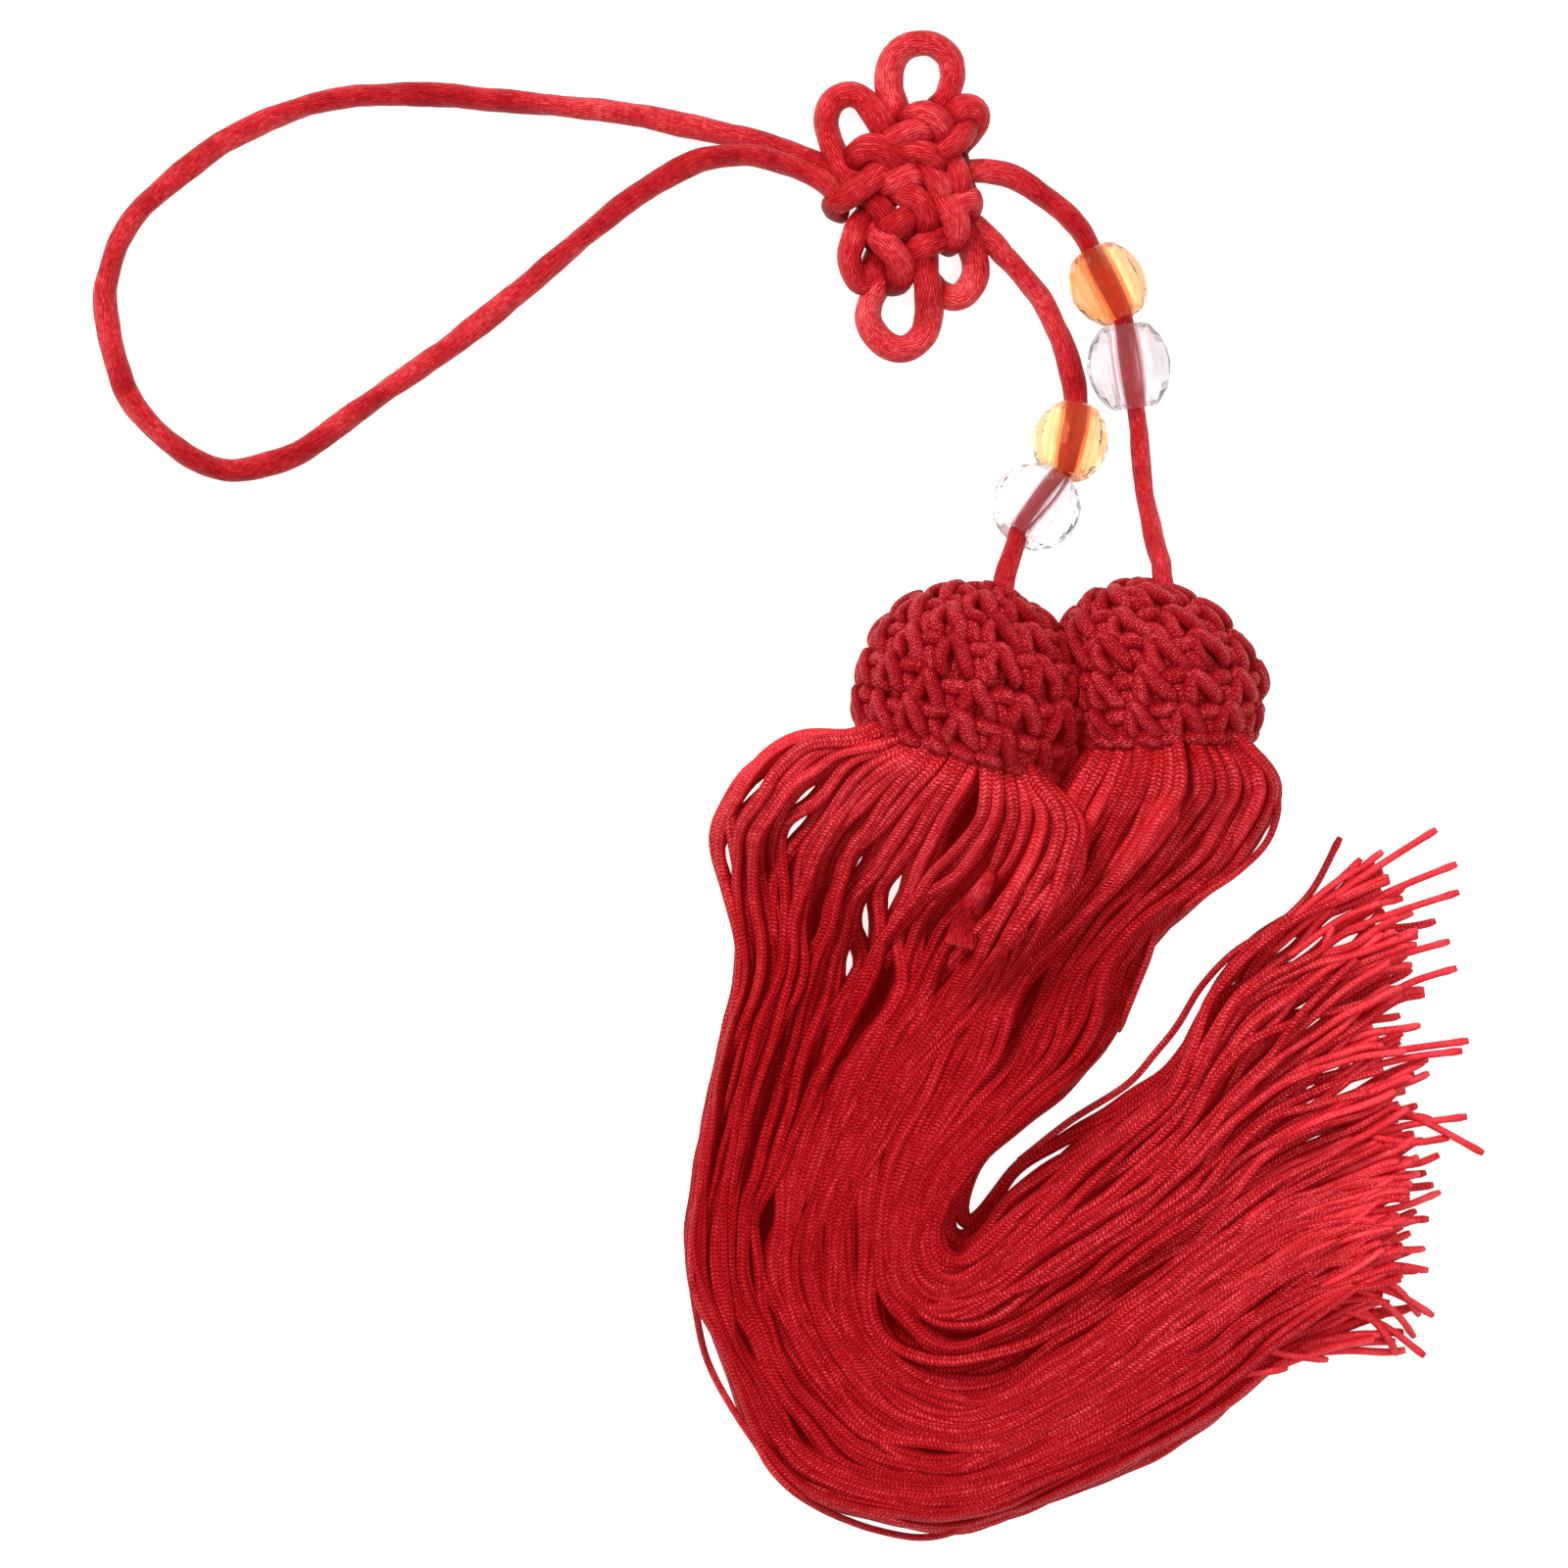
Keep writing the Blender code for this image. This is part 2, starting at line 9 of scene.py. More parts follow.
import bmesh
import bpy
import numpy as np
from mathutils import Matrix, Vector


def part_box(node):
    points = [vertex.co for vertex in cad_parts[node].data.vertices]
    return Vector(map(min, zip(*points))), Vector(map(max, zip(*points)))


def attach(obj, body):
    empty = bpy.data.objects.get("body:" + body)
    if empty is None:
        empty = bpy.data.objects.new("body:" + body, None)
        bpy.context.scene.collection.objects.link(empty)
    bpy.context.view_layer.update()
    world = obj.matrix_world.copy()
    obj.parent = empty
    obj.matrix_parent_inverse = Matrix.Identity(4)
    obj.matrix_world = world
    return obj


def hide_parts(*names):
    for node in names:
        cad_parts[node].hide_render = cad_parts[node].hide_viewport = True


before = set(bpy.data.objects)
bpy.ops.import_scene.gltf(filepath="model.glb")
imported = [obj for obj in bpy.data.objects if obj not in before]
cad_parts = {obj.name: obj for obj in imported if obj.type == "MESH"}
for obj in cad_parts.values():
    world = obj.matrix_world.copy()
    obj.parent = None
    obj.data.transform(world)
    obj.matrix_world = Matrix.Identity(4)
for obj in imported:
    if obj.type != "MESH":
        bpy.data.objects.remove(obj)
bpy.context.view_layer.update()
MM = 0.001

# ---------------------------------------------------------------------------------------
# The table and the daylight: a pale sheet below, soft white light from all round, and a
# camera that looks straight down, as the photograph does.
PICTURE_WIDTH = 0.200
PICTURE_MIDDLE = (-0.0385, 0.0)
CAMERA_HEIGHT = 3.00
MEAN_HEIGHT = 0.006
TABLE_RADIUS = 2.5
TABLE_DROP = 0.0002


def into_scene(name, data):
    """Puts a camera, a lamp or a mesh into the scene."""
    made = bpy.data.objects.new(name, data)
    bpy.context.scene.collection.objects.link(made)
    return made


def set_inputs(node, values):
    """Sets a node's inputs, each by its name."""
    for name, value in values.items():
        node.inputs[name].default_value = value


camera_data = bpy.data.cameras.new("overhead")
camera_data.sensor_fit = "HORIZONTAL"
camera_data.angle = 2 * math.atan(PICTURE_WIDTH / 2 / (CAMERA_HEIGHT - MEAN_HEIGHT))
camera_data.clip_start = 0.01
camera_data.clip_end = 20.0
camera = into_scene("overhead", camera_data)
camera.location = (*PICTURE_MIDDLE, CAMERA_HEIGHT)
bpy.context.scene.camera = camera
bpy.context.scene.view_settings.view_transform = "Standard"

world = bpy.data.worlds.new("daylight")
world.use_nodes = True
set_inputs(world.node_tree.nodes["Background"],
           {"Color": (1.0, 0.99, 0.98, 1), "Strength": 0.50})
bpy.context.scene.world = world

for lamp_name, place, size, power in (
        ("window_left", (-0.50, 0.55, 0.75), 0.35, 11.0),
        ("window_right", (0.60, 0.10, 0.80), 0.60, 4.0)):
    lamp_data = bpy.data.lights.new(lamp_name, "AREA")
    lamp_data.size = size
    lamp_data.energy = power
    lamp = into_scene(lamp_name, lamp_data)
    lamp.location = place
    lamp.rotation_mode = "QUATERNION"
    lamp.rotation_quaternion = (-Vector(place)).to_track_quat("-Z", "Y")
    lamp.visible_glossy = False

sheet = bmesh.new()
bmesh.ops.create_circle(sheet, cap_ends=True, segments=96, radius=TABLE_RADIUS)
sheet_mesh = bpy.data.meshes.new("table_sheet")
sheet.to_mesh(sheet_mesh)
sheet.free()
table = into_scene("table_sheet", sheet_mesh)
table.location = (0, 0, -TABLE_DROP)
paper = bpy.data.materials.new("white_paper")
paper.use_nodes = True
set_inputs(paper.node_tree.nodes["Principled BSDF"],
           {"Base Color": (0.55, 0.55, 0.55, 1), "Roughness": 0.9,
            "Emission Color": (1.0, 1.0, 1.0, 1), "Emission Strength": 0.86})
table.data.materials.append(paper)

# ---------------------------------------------------------------------------------------
# The beads: cast acrylic, each with tall flat facets round its hole, amber nearest the
# knot and clear nearest the head, polished and threaded on the drop cords.
# Sizes in mm, and the two places on the cord that the hole runs between.
BEADS = {
    "bead_amber_a": {"width": 9.9, "length": 9.4, "from": (-1.3, 47.4, 4.1), "to": (-2.6, 40.4, 5.9)},
    "bead_clear_a": {"width": 11.6, "length": 9.6, "from": (-4.3, 38.1, 7.5), "to": (-8.6, 32.5, 10.2)},
    "bead_amber_b": {"width": 10.0, "length": 9.7, "from": (1.1, 67.3, 4.6), "to": (4.5, 60.4, 5.3)},
    "bead_clear_b": {"width": 10.9, "length": 10.8, "from": (5.1, 57.0, 5.4), "to": (6.2, 49.3, 5.3)},
}
# Half a bead's outline, from its widest place to its end: half width and half length, as
# shares of the bead's own.
BEAD_PROFILE = [(1.0, 0.0), (0.96, 0.28), (0.84, 0.62), (0.62, 0.92), (0.50, 1.0)]
BEAD_FACETS = 18
BORE_RADIUS = 4.3 / 2 * MM
# The edges between facets stand a little in or out, by a share of the width, in a wave that
# goes on by so many radians from one edge to the next.
FACET_WAVER = 0.014
WAVER_STEP = 2.4


class Wiring:
    """Short calls for wiring up a material's nodes."""

    def __init__(self, name):
        self.material = bpy.data.materials.new(name)
        self.material.use_nodes = True
        self.tree = self.material.node_tree
        self.shader = self.tree.nodes["Principled BSDF"]

    def node(self, kind, **settings):
        made = self.tree.nodes.new("ShaderNode" + kind)
        for key, value in settings.items():
            setattr(made, key, value)
        return made

    def put(self, value, socket):
        if isinstance(value, bpy.types.NodeSocket):
            self.tree.links.new(value, socket)
        else:
            socket.default_value = value

    def joined(self, made, values):
        """Puts values into a node's inputs from the first on, and gives its output."""
        for value, socket in zip(values, made.inputs):
            self.put(value, socket)
        return made.outputs[0]

    def math(self, operation, *values):
        return self.joined(self.node("Math", operation=operation), values)

    def vector(self, *values):
        return self.joined(self.node("CombineXYZ"), values)

    def times(self, a, b):
        return self.math("MULTIPLY", a, b)

    def minus(self, a, b):
        return self.math("SUBTRACT", a, b)

    def plus(self, total, *others):
        for other in others:
            total = self.math("ADD", total, other)
        return total

    def swing(self, value, middle, strength):
        """How far a value is from its middle, times a strength."""
        return self.times(self.minus(value, middle), strength)

    def arch(self, value):
        """Half a wave for each 1 that the value grows: 0 at its ends, 1 half way."""
        return self.math("SINE", self.times(self.math("FRACT", value), math.pi))

    def noise(self, where, scale=1.0, detail=1.0, roughness=0.5):
        made = self.node("TexNoise")
        self.put(where, made.inputs["Vector"])
        set_inputs(made, {"Scale": scale, "Detail": detail, "Roughness": roughness})
        return made.outputs["Fac"]

    def carried(self, name):
        """A value that the mesh itself carries: a shade, or how far it faces up."""
        return self.node("Attribute", attribute_name=name).outputs["Fac"]

    def yarn(self):
        """The coordinates round the yarn (0 to 1) and along it (in mm)."""
        place = self.node("UVMap", uv_map="yarn")
        split = self.node("SeparateXYZ")
        self.put(place.outputs[0], split.inputs[0])
        return split.outputs[0], split.outputs[1]

    def paint(self, value, stops):
        """Colours the shader by a value, through the colours at its stops."""
        made = self.node("ValToRGB")
        self.put(value, made.inputs[0])
        points = made.color_ramp.elements
        while len(points) < len(stops):
            points.new(0.5)
        for point, (place, colour) in zip(points, stops):
            point.position = place
            point.color = (*colour, 1)
        self.put(made.outputs[0], self.shader.inputs["Base Color"])

    def bump(self, height, strength, distance):
        made = self.node("Bump")
        set_inputs(made, {"Strength": strength, "Distance": distance})
        self.put(height, made.inputs["Height"])
        self.put(made.outputs[0], self.shader.inputs["Normal"])


def acrylic(name, pale, deep, alpha, glow=0.0):
    """Clear or tinted acrylic, each facet's long strip a little paler or deeper; any glow is painted.
    """
    w = Wiring(name)
    haze = w.noise(w.node("NewGeometry").outputs["Position"], 420.0, 2.0)
    depth = w.plus(w.times(w.carried("shade"), 0.7), w.times(haze, 0.3))
    w.paint(depth, [(0.36, pale), (0.62, deep)])
    set_inputs(w.shader, {"Roughness": 0.03, "IOR": 1.33, "Transmission Weight": 0.985,
                          "Alpha": alpha, "Emission Color": (*deep, 1),
                          "Emission Strength": glow})
    return w.material


# The outside of each bead first, then its bore, with a painted glow for the cord's light inside.
bead_finish = {
    "amber": (acrylic("amber_acrylic", (1.0, 0.86, 0.46), (1.0, 0.42, 0.14), 0.95),
              acrylic("amber_bore", (1.0, 0.66, 0.36), (1.0, 0.24, 0.07), 0.55, 0.22)),
    "clear": (acrylic("clear_acrylic", (0.84, 0.82, 0.84), (0.77, 0.73, 0.76), 0.93),
              acrylic("clear_bore", (1.0, 0.97, 0.98), (0.97, 0.78, 0.82), 0.48, 0.05)),
}


def cast_bead(name, bead):
    """A bead's mesh about its own middle: its outline and its bore, spun round z."""
    half = bead["length"] / 2 * MM
    outer = [(r * bead["width"] / 2 * MM, t * half) for r, t in BEAD_PROFILE]
    outline = outer[:0:-1] + [(r, -t) for r, t in outer]
    outline += [(BORE_RADIUS, outline[-1][1]), (BORE_RADIUS, outline[0][1])]
    work = bmesh.new()
    verts = [work.verts.new((r, 0, t)) for r, t in outline]
    edges = [work.edges.new(pair) for pair in zip(verts, verts[1:] + verts[:1])]
    bmesh.ops.spin(work, geom=verts + edges, cent=(0, 0, 0), axis=(0, 0, 1),
                   angle=math.tau, steps=BEAD_FACETS, use_merge=True)
    bmesh.ops.recalc_face_normals(work, faces=work.faces)
    if work.calc_volume(signed=True) < 0:
        bmesh.ops.reverse_faces(work, faces=work.faces)
    for vert in work.verts:
        edge = round(math.atan2(vert.co.y, vert.co.x) / math.tau * BEAD_FACETS)
        if math.hypot(*vert.co.xy) > BORE_RADIUS * 1.1:
            vert.co.xy *= 1 + FACET_WAVER * math.sin(edge * WAVER_STEP + bead["width"])
    mesh = bpy.data.meshes.new(name)
    work.to_mesh(mesh)
    work.free()
    return mesh


def tint_facets(mesh, seed):
    """A tint of its own for each facet's strip, and the second finish for the bore."""
    tints = np.random.default_rng(seed).uniform(0, 1, BEAD_FACETS)
    tint = mesh.attributes.new("shade", "FLOAT", "FACE")
    for face in mesh.polygons:
        reach = max(math.hypot(*mesh.vertices[i].co.xy) for i in face.vertices)
        face.material_index = int(reach < BORE_RADIUS * 1.01)
        turned = math.atan2(face.center.y, face.center.x) / math.tau * BEAD_FACETS
        tint.data[face.index].value = tints[math.floor(turned)]


for bead_name, bead in BEADS.items():
    mesh = cast_bead(bead_name + "_cast", bead)
    tint_facets(mesh, seed=round(bead["width"] * 10))
    low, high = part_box(bead_name)
    along = Vector(bead["to"]) - Vector(bead["from"])
    turn = along.to_track_quat("Z", "Y").to_matrix().to_4x4()
    turn.translation = (Vector(low) + Vector(high)) / 2
    mesh.transform(turn)
    colour = bead_name.split("_")[1]
    for finish in bead_finish[colour]:
        mesh.materials.append(finish)
    piece = into_scene(bead_name + "_cast", mesh)
    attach(piece, "root")
    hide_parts(bead_name)

# ---------------------------------------------------------------------------------------
# The hanging loop and the two drop cords: 3 mm satin knotting cord, a soft core under a
# braid of shiny yarn that lies in long, slightly slanting floats. The loop leaves the
# knot's left corner and comes back over itself; the drop cords run to the heads' tops.
CORD_DIAMETER = 3.0 * MM
CORD_SIDES = 28
CORD_STEP = 0.45 * MM
# The braid's pattern starts this much further on for each length of cord, in mm.
BRAID_SHIFT = 17.3
# Bulges in a cord: the length of each in mm, how many go round it, and their share of the
# radius.
LUMPS = ((31.0, 2, 0.06), (23.0, 1, 0.025), (11.0, 2, 0.035), (6.3, 3, 0.02), (3.1, 5, 0.012))
LOOP_ROUTE = [
    (-32.3, 78.6, 1.5), (-34.6, 79.6, 1.5), (-41.9, 82.1, 1.5), (-50.3, 84.0, 1.5),
    (-58.5, 85.6, 1.5), (-68.6, 86.8, 1.5), (-76.0, 87.4, 1.5), (-85.1, 88.1, 1.5),
    (-96.6, 87.4, 1.5), (-108.1, 83.1, 1.5), (-115.3, 78.2, 1.5), (-121.9, 71.9, 1.5),
    (-124.9, 64.8, 1.5), (-125.0, 59.0, 1.5), (-122.5, 50.2, 1.5), (-118.5, 45.0, 1.5),
    (-113.5, 41.3, 1.5), (-108.5, 40.1, 1.5), (-101.0, 42.1, 1.5), (-95.3, 45.9, 1.5),
    (-88.0, 51.2, 1.5), (-80.1, 56.7, 1.5), (-72.4, 62.8, 1.5), (-65.1, 69.1, 1.5),
    (-58.4, 74.4, 1.7), (-54.4, 77.0, 2.6), (-49.6, 79.5, 3.9), (-44.0, 80.3, 4.5),
    (-39.9, 79.6, 4.6), (-35.2, 77.8, 4.5), (-32.9, 76.5, 4.2),
]
DROP_A_ROUTE = [
    (-11.8, 69.1, 1.5), (-10.4, 67.5, 1.5), (-8.1, 65.0, 1.5), (-5.7, 62.0, 1.6),
    (-3.9, 58.6, 1.8), (-2.4, 54.9, 2.3), (-1.5, 51.0, 3.2), (-1.3, 47.4, 4.1),
    (-1.9, 43.7, 5.0), (-2.6, 40.4, 5.9), (-4.3, 38.1, 7.5), (-6.4, 35.4, 8.9),
    (-8.4, 32.5, 10.2), (-9.4, 29.6, 11.3), (-10.0, 27.8, 11.6), (-10.2, 27.1, 11.6),
]
DROP_B_ROUTE = [
    (-12.3, 78.3, 1.6), (-9.9, 77.8, 1.5), (-7.7, 76.7, 1.5), (-3.7, 73.8, 2.2),
    (-0.7, 70.8, 3.6), (1.1, 67.3, 4.6), (2.9, 63.8, 5.0), (4.5, 60.4, 5.3),
    (5.1, 57.0, 5.4), (5.6, 53.2, 5.5), (6.2, 49.3, 5.3), (6.7, 45.8, 4.8),
    (7.1, 41.5, 4.1), (7.4, 37.8, 4.3), (8.1, 34.0, 6.0), (8.8, 30.6, 8.6),
    (9.5, 28.2, 10.4), (9.7, 26.6, 10.8),
]
# Each cord: its route, and where it goes on, out of sight, at its two ends: into the knot or
# into a head. Its widths are shares along its length and of its diameter: the beads squeeze
# it and strip it thin.
CORDS = {
    "hanging_loop": {
        "seed": 1, "route": LOOP_ROUTE,
        "hidden_ends": [(-29.6, 77.6, 1.5), (-31.0, 74.3, 2.8)],
        "widths": ((0.0, 1.0), (1.0, 1.0))},
    "drop_cord_a": {
        "seed": 2, "route": DROP_A_ROUTE,
        "hidden_ends": [(-16.8, 73.6, 1.5), (-11.0, 23.4, 11.6)],
        "widths": ((0.0, 1.0), (0.48, 1.0), (0.62, 0.86), (0.78, 0.74), (0.90, 0.88))},
    "drop_cord_b": {
        "seed": 3, "route": DROP_B_ROUTE,
        "hidden_ends": [(-15.2, 78.3, 1.8), (10.3, 23.0, 10.8)],
        "widths": ((0.0, 1.0), (0.28, 0.98), (0.40, 0.86), (0.57, 0.74), (0.68, 0.86),
                   (1.0, 0.84))},
}
# What satin and knit share: red glints, and a painted red glow for the light the yarn throws on itself.
RED_YARN = {"Specular Tint": (1.0, 0.5, 0.5, 1), "Emission Color": (0.9, 0.006, 0.012, 1)}
# A tube's points, its quads, their corners' yarn coordinates, the two faces that close its
# ends, and how far each point faces up (1 is straight up).
Tube = namedtuple("Tube", "points quads uv ends crown")


def lengths_along(path):
    """How far each point of a path is from its start, along it."""
    return np.concatenate([[0], np.cumsum(np.linalg.norm(np.diff(path, axis=0), axis=1))])


def smooth_route(points, step):
    """A Catmull-Rom curve through the points, cut into even steps, as an array."""
    points = np.array(points, float)
    padded = np.vstack([2 * points[0] - points[1], points, 2 * points[-1] - points[-2]])
    share = np.linspace(0, 1, 16, endpoint=False)[:, None]
    pieces = []
    for i in range(len(points) - 1):
        a, b, c, d = padded[i:i + 4]
        pieces.append(0.5 * (2 * b + (c - a) * share
                             + (2 * a - 5 * b + 4 * c - d) * share ** 2
                             + (3 * b - 3 * c + d - a) * share ** 3))
    dense = np.vstack(pieces + [points[-1:]])
    lengths = lengths_along(dense)
    targets = np.linspace(0, lengths[-1], max(3, round(lengths[-1] / step) + 1))
    return np.column_stack([np.interp(targets, lengths, dense[:, k]) for k in range(3)])


def frames_along(path):
    """For each point of a path, a sideways and an upward direction that twist least."""
    tangent = np.gradient(path, axis=0)
    tangent /= np.linalg.norm(tangent, axis=1)[:, None]
    up = np.zeros_like(path)
    carried = np.array([0, 0, 1.0] if abs(tangent[0, 2]) < 0.9 else [1.0, 0, 0])
    for i, direction in enumerate(tangent):
        carried = carried - direction * np.dot(carried, direction)
        carried /= np.linalg.norm(carried)
        up[i] = carried
    return np.cross(tangent, up), up


def tube(path, half_width, half_height, sides, roll=0.0, swell=1.0, outward=None):
    """A closed tube along a path. Where outward is given, its height points that way."""
    count = len(path)
    side, up = frames_along(path)
    if outward is not None:
        tangent = np.cross(up, side)
        side = np.cross(tangent, outward)
        side /= np.linalg.norm(side, axis=1)[:, None]
        up = np.cross(side, tangent)
    roll = np.broadcast_to(roll, count)[:, None]
    cos, sin = np.cos(roll), np.sin(roll)
    side, up = side * cos + up * sin, up * cos - side * sin
    angle = np.arange(sides)[None, :] * math.tau / sides
    across = np.cos(angle) * np.broadcast_to(half_width, count)[:, None] * swell
    high = np.sin(angle) * np.broadcast_to(half_height, count)[:, None] * swell
    points = (path[:, None, :] + side[:, None, :] * across[:, :, None]
              + up[:, None, :] * high[:, :, None])
    length = lengths_along(path)[:, None] / MM
    ring = np.arange(count - 1)[:, None] * sides
    k = np.arange(sides)[None, :]
    after = (k + 1) % sides
    quads = np.stack([ring + k, ring + after, ring + sides + after, ring + sides + k], axis=-1)
    uv = np.empty((count - 1, sides, 4, 2))
    uv[..., 0, 0] = uv[..., 3, 0] = k / sides
    uv[..., 1, 0] = uv[..., 2, 0] = (k + 1) / sides
    uv[..., 0, 1] = uv[..., 1, 1] = length[:-1]
    uv[..., 2, 1] = uv[..., 3, 1] = length[1:]
    ends = np.array([np.arange(sides)[::-1], np.arange(sides) + (count - 1) * sides])
    return Tube(points.reshape(-1, 3), quads.reshape(-1, 4), uv.reshape(-1, 2), ends,
                np.sin(angle + roll).ravel())


def yarn_object(name, tubes, finish, shades):
    """Joins tubes into one closed mesh, with their yarn coordinates and a shade each."""
    quads, ends, base = [], [], 0
    for made in tubes:
        quads.append(made.quads + base)
        ends += (made.ends + base).tolist()
        base += len(made.points)
    mesh = bpy.data.meshes.new(name)
    mesh.from_pydata(np.vstack([made.points for made in tubes]).tolist(), [],
                     np.vstack(quads).tolist() + ends)
    corners = np.zeros((len(mesh.loops), 2))
    uv = np.vstack([made.uv for made in tubes])
    corners[:len(uv)] = uv
    mesh.uv_layers.new(name="yarn").data.foreach_set("uv", corners.ravel())
    shade = [np.full(len(made.points), value) for made, value in zip(tubes, shades)]
    for key, values in (("shade", shade), ("crown", [made.crown for made in tubes])):
        carried = mesh.attributes.new(key, "FLOAT", "POINT")
        carried.data.foreach_set("value", np.concatenate(values))
    mesh.polygons.foreach_set("use_smooth", [True] * len(mesh.polygons))
    mesh.materials.append(finish)
    made = into_scene(name, mesh)
    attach(made, "root")
    return made


def satin_finish():
    """Shiny red braid: short floats in a diamond pattern, with painted shade in bands where it turns
    away.
    """
    w = Wiring("satin_braid")
    around, along = w.yarn()
    sway = w.noise(w.vector(0.0, w.times(along, 0.10)))
    place = w.plus(w.times(around, 28.0), w.times(sway, 9.0))
    slant = w.times(along, 0.60)
    floats = w.times(w.arch(w.plus(place, slant)), w.arch(w.minus(place, slant)))
    height = w.math("POWER", floats, 0.6)
    fine = w.noise(w.vector(w.times(place, 1.05), w.times(along, 0.85)),
                   detail=2.0, roughness=0.7)
    band = w.noise(w.vector(3.0, w.times(along, 0.20)), roughness=0.4)
    patch = w.noise(w.vector(w.times(w.carried("crown"), 0.7), w.times(along, 0.13), 7.0))
    turning = w.plus(around, w.plus(w.times(along, 0.013), sway))
    # Painted light: float tops lighter, patches of painted sheen, bands of painted shade, and each
    # length's shade.
    light = w.plus(w.times(height, 0.26), w.times(fine, 0.90),
                   w.times(w.math("MAXIMUM", w.minus(band, 0.57), 0.0), -0.8),
                   w.times(w.math("SINE", w.times(turning, math.tau)), 0.07),
                   w.swing(patch, 0.76, 0.45), w.swing(w.carried("shade"), 0.5, 0.6))
    # From deep painted shade up to a pink painted highlight.
    w.paint(light, [(0.10, (0.10, 0.001, 0.002)), (0.38, (0.33, 0.004, 0.008)),
                    (0.60, (0.53, 0.020, 0.026)), (0.92, (0.86, 0.13, 0.14))])
    set_inputs(w.shader, {**RED_YARN, "Roughness": 0.40, "Specular IOR Level": 0.20,
                          "Emission Strength": 0.03})
    w.bump(w.plus(height, w.times(fine, 1.2)), 0.6, 0.00020)
    return w.material


satin = satin_finish()


def satin_cord(path, radius, seed):
    """One length of braid, a little lumpy."""
    draw = np.random.default_rng(seed)
    length = np.linspace(0, len(path) * CORD_STEP / MM, len(path))[:, None]
    angle = np.arange(CORD_SIDES)[None, :] * math.tau / CORD_SIDES
    swell = np.ones((len(path), CORD_SIDES))
    for period, lobes, share in LUMPS:
        swell += share * np.sin(length * math.tau / period + lobes * angle
                                + draw.uniform(0, math.tau))
    made = tube(path, radius, radius, CORD_SIDES, swell=swell)
    made.uv[:, 1] += seed * BRAID_SHIFT
    return made


for cord_name, cord in CORDS.items():
    begin, end = cord["hidden_ends"]
    path = smooth_route(np.array([begin] + cord["route"] + [end]) * MM, CORD_STEP)
    path[:, 2] = np.maximum(path[:, 2], CORD_DIAMETER / 2)
    radius = CORD_DIAMETER / 2 * np.interp(np.linspace(0, 1, len(path)), *zip(*cord["widths"]))
    piece = yarn_object(cord_name + "_braid", [satin_cord(path, radius, cord["seed"])], satin,
                        [0.5])
    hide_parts(cord_name)

# ---------------------------------------------------------------------------------------
# The knot: the same satin cord woven four by four, over and under by turns, and pulled
# tight, so that each pass over another stands up as a plump arc. Six small ears stand out.
KNOT_CORD_RADIUS = 1.74 * MM
KNOT_CORD_RADIUS_BELOW = 1.45 * MM
BELOW_LOW, BELOW_HIGH = 1.5, 2.6
FIRST_KNOT_SEED = 11
# How light the arcs are, and the painted shade on their last millimetres and on the weave below.
KNOT_TONE = 0.64
SHADED_LENGTH = 3.2 * MM
SHADE_AT_ENDS, SHADE_BELOW = 0.9, 0.8
# Where the cords of the weave cross, four by four.
CROSSINGS = [
    [(-28.0, 76.6), (-26.6, 80.6), (-22.6, 82.9), (-19.2, 84.8)],
    [(-26.1, 73.4), (-23.5, 77.2), (-19.9, 79.2), (-16.6, 80.6)],
    [(-23.9, 70.4), (-21.1, 73.7), (-18.3, 75.5), (-15.9, 77.4)],
    [(-23.2, 66.9), (-19.8, 69.6), (-17.0, 71.8), (-14.9, 74.6)],
]
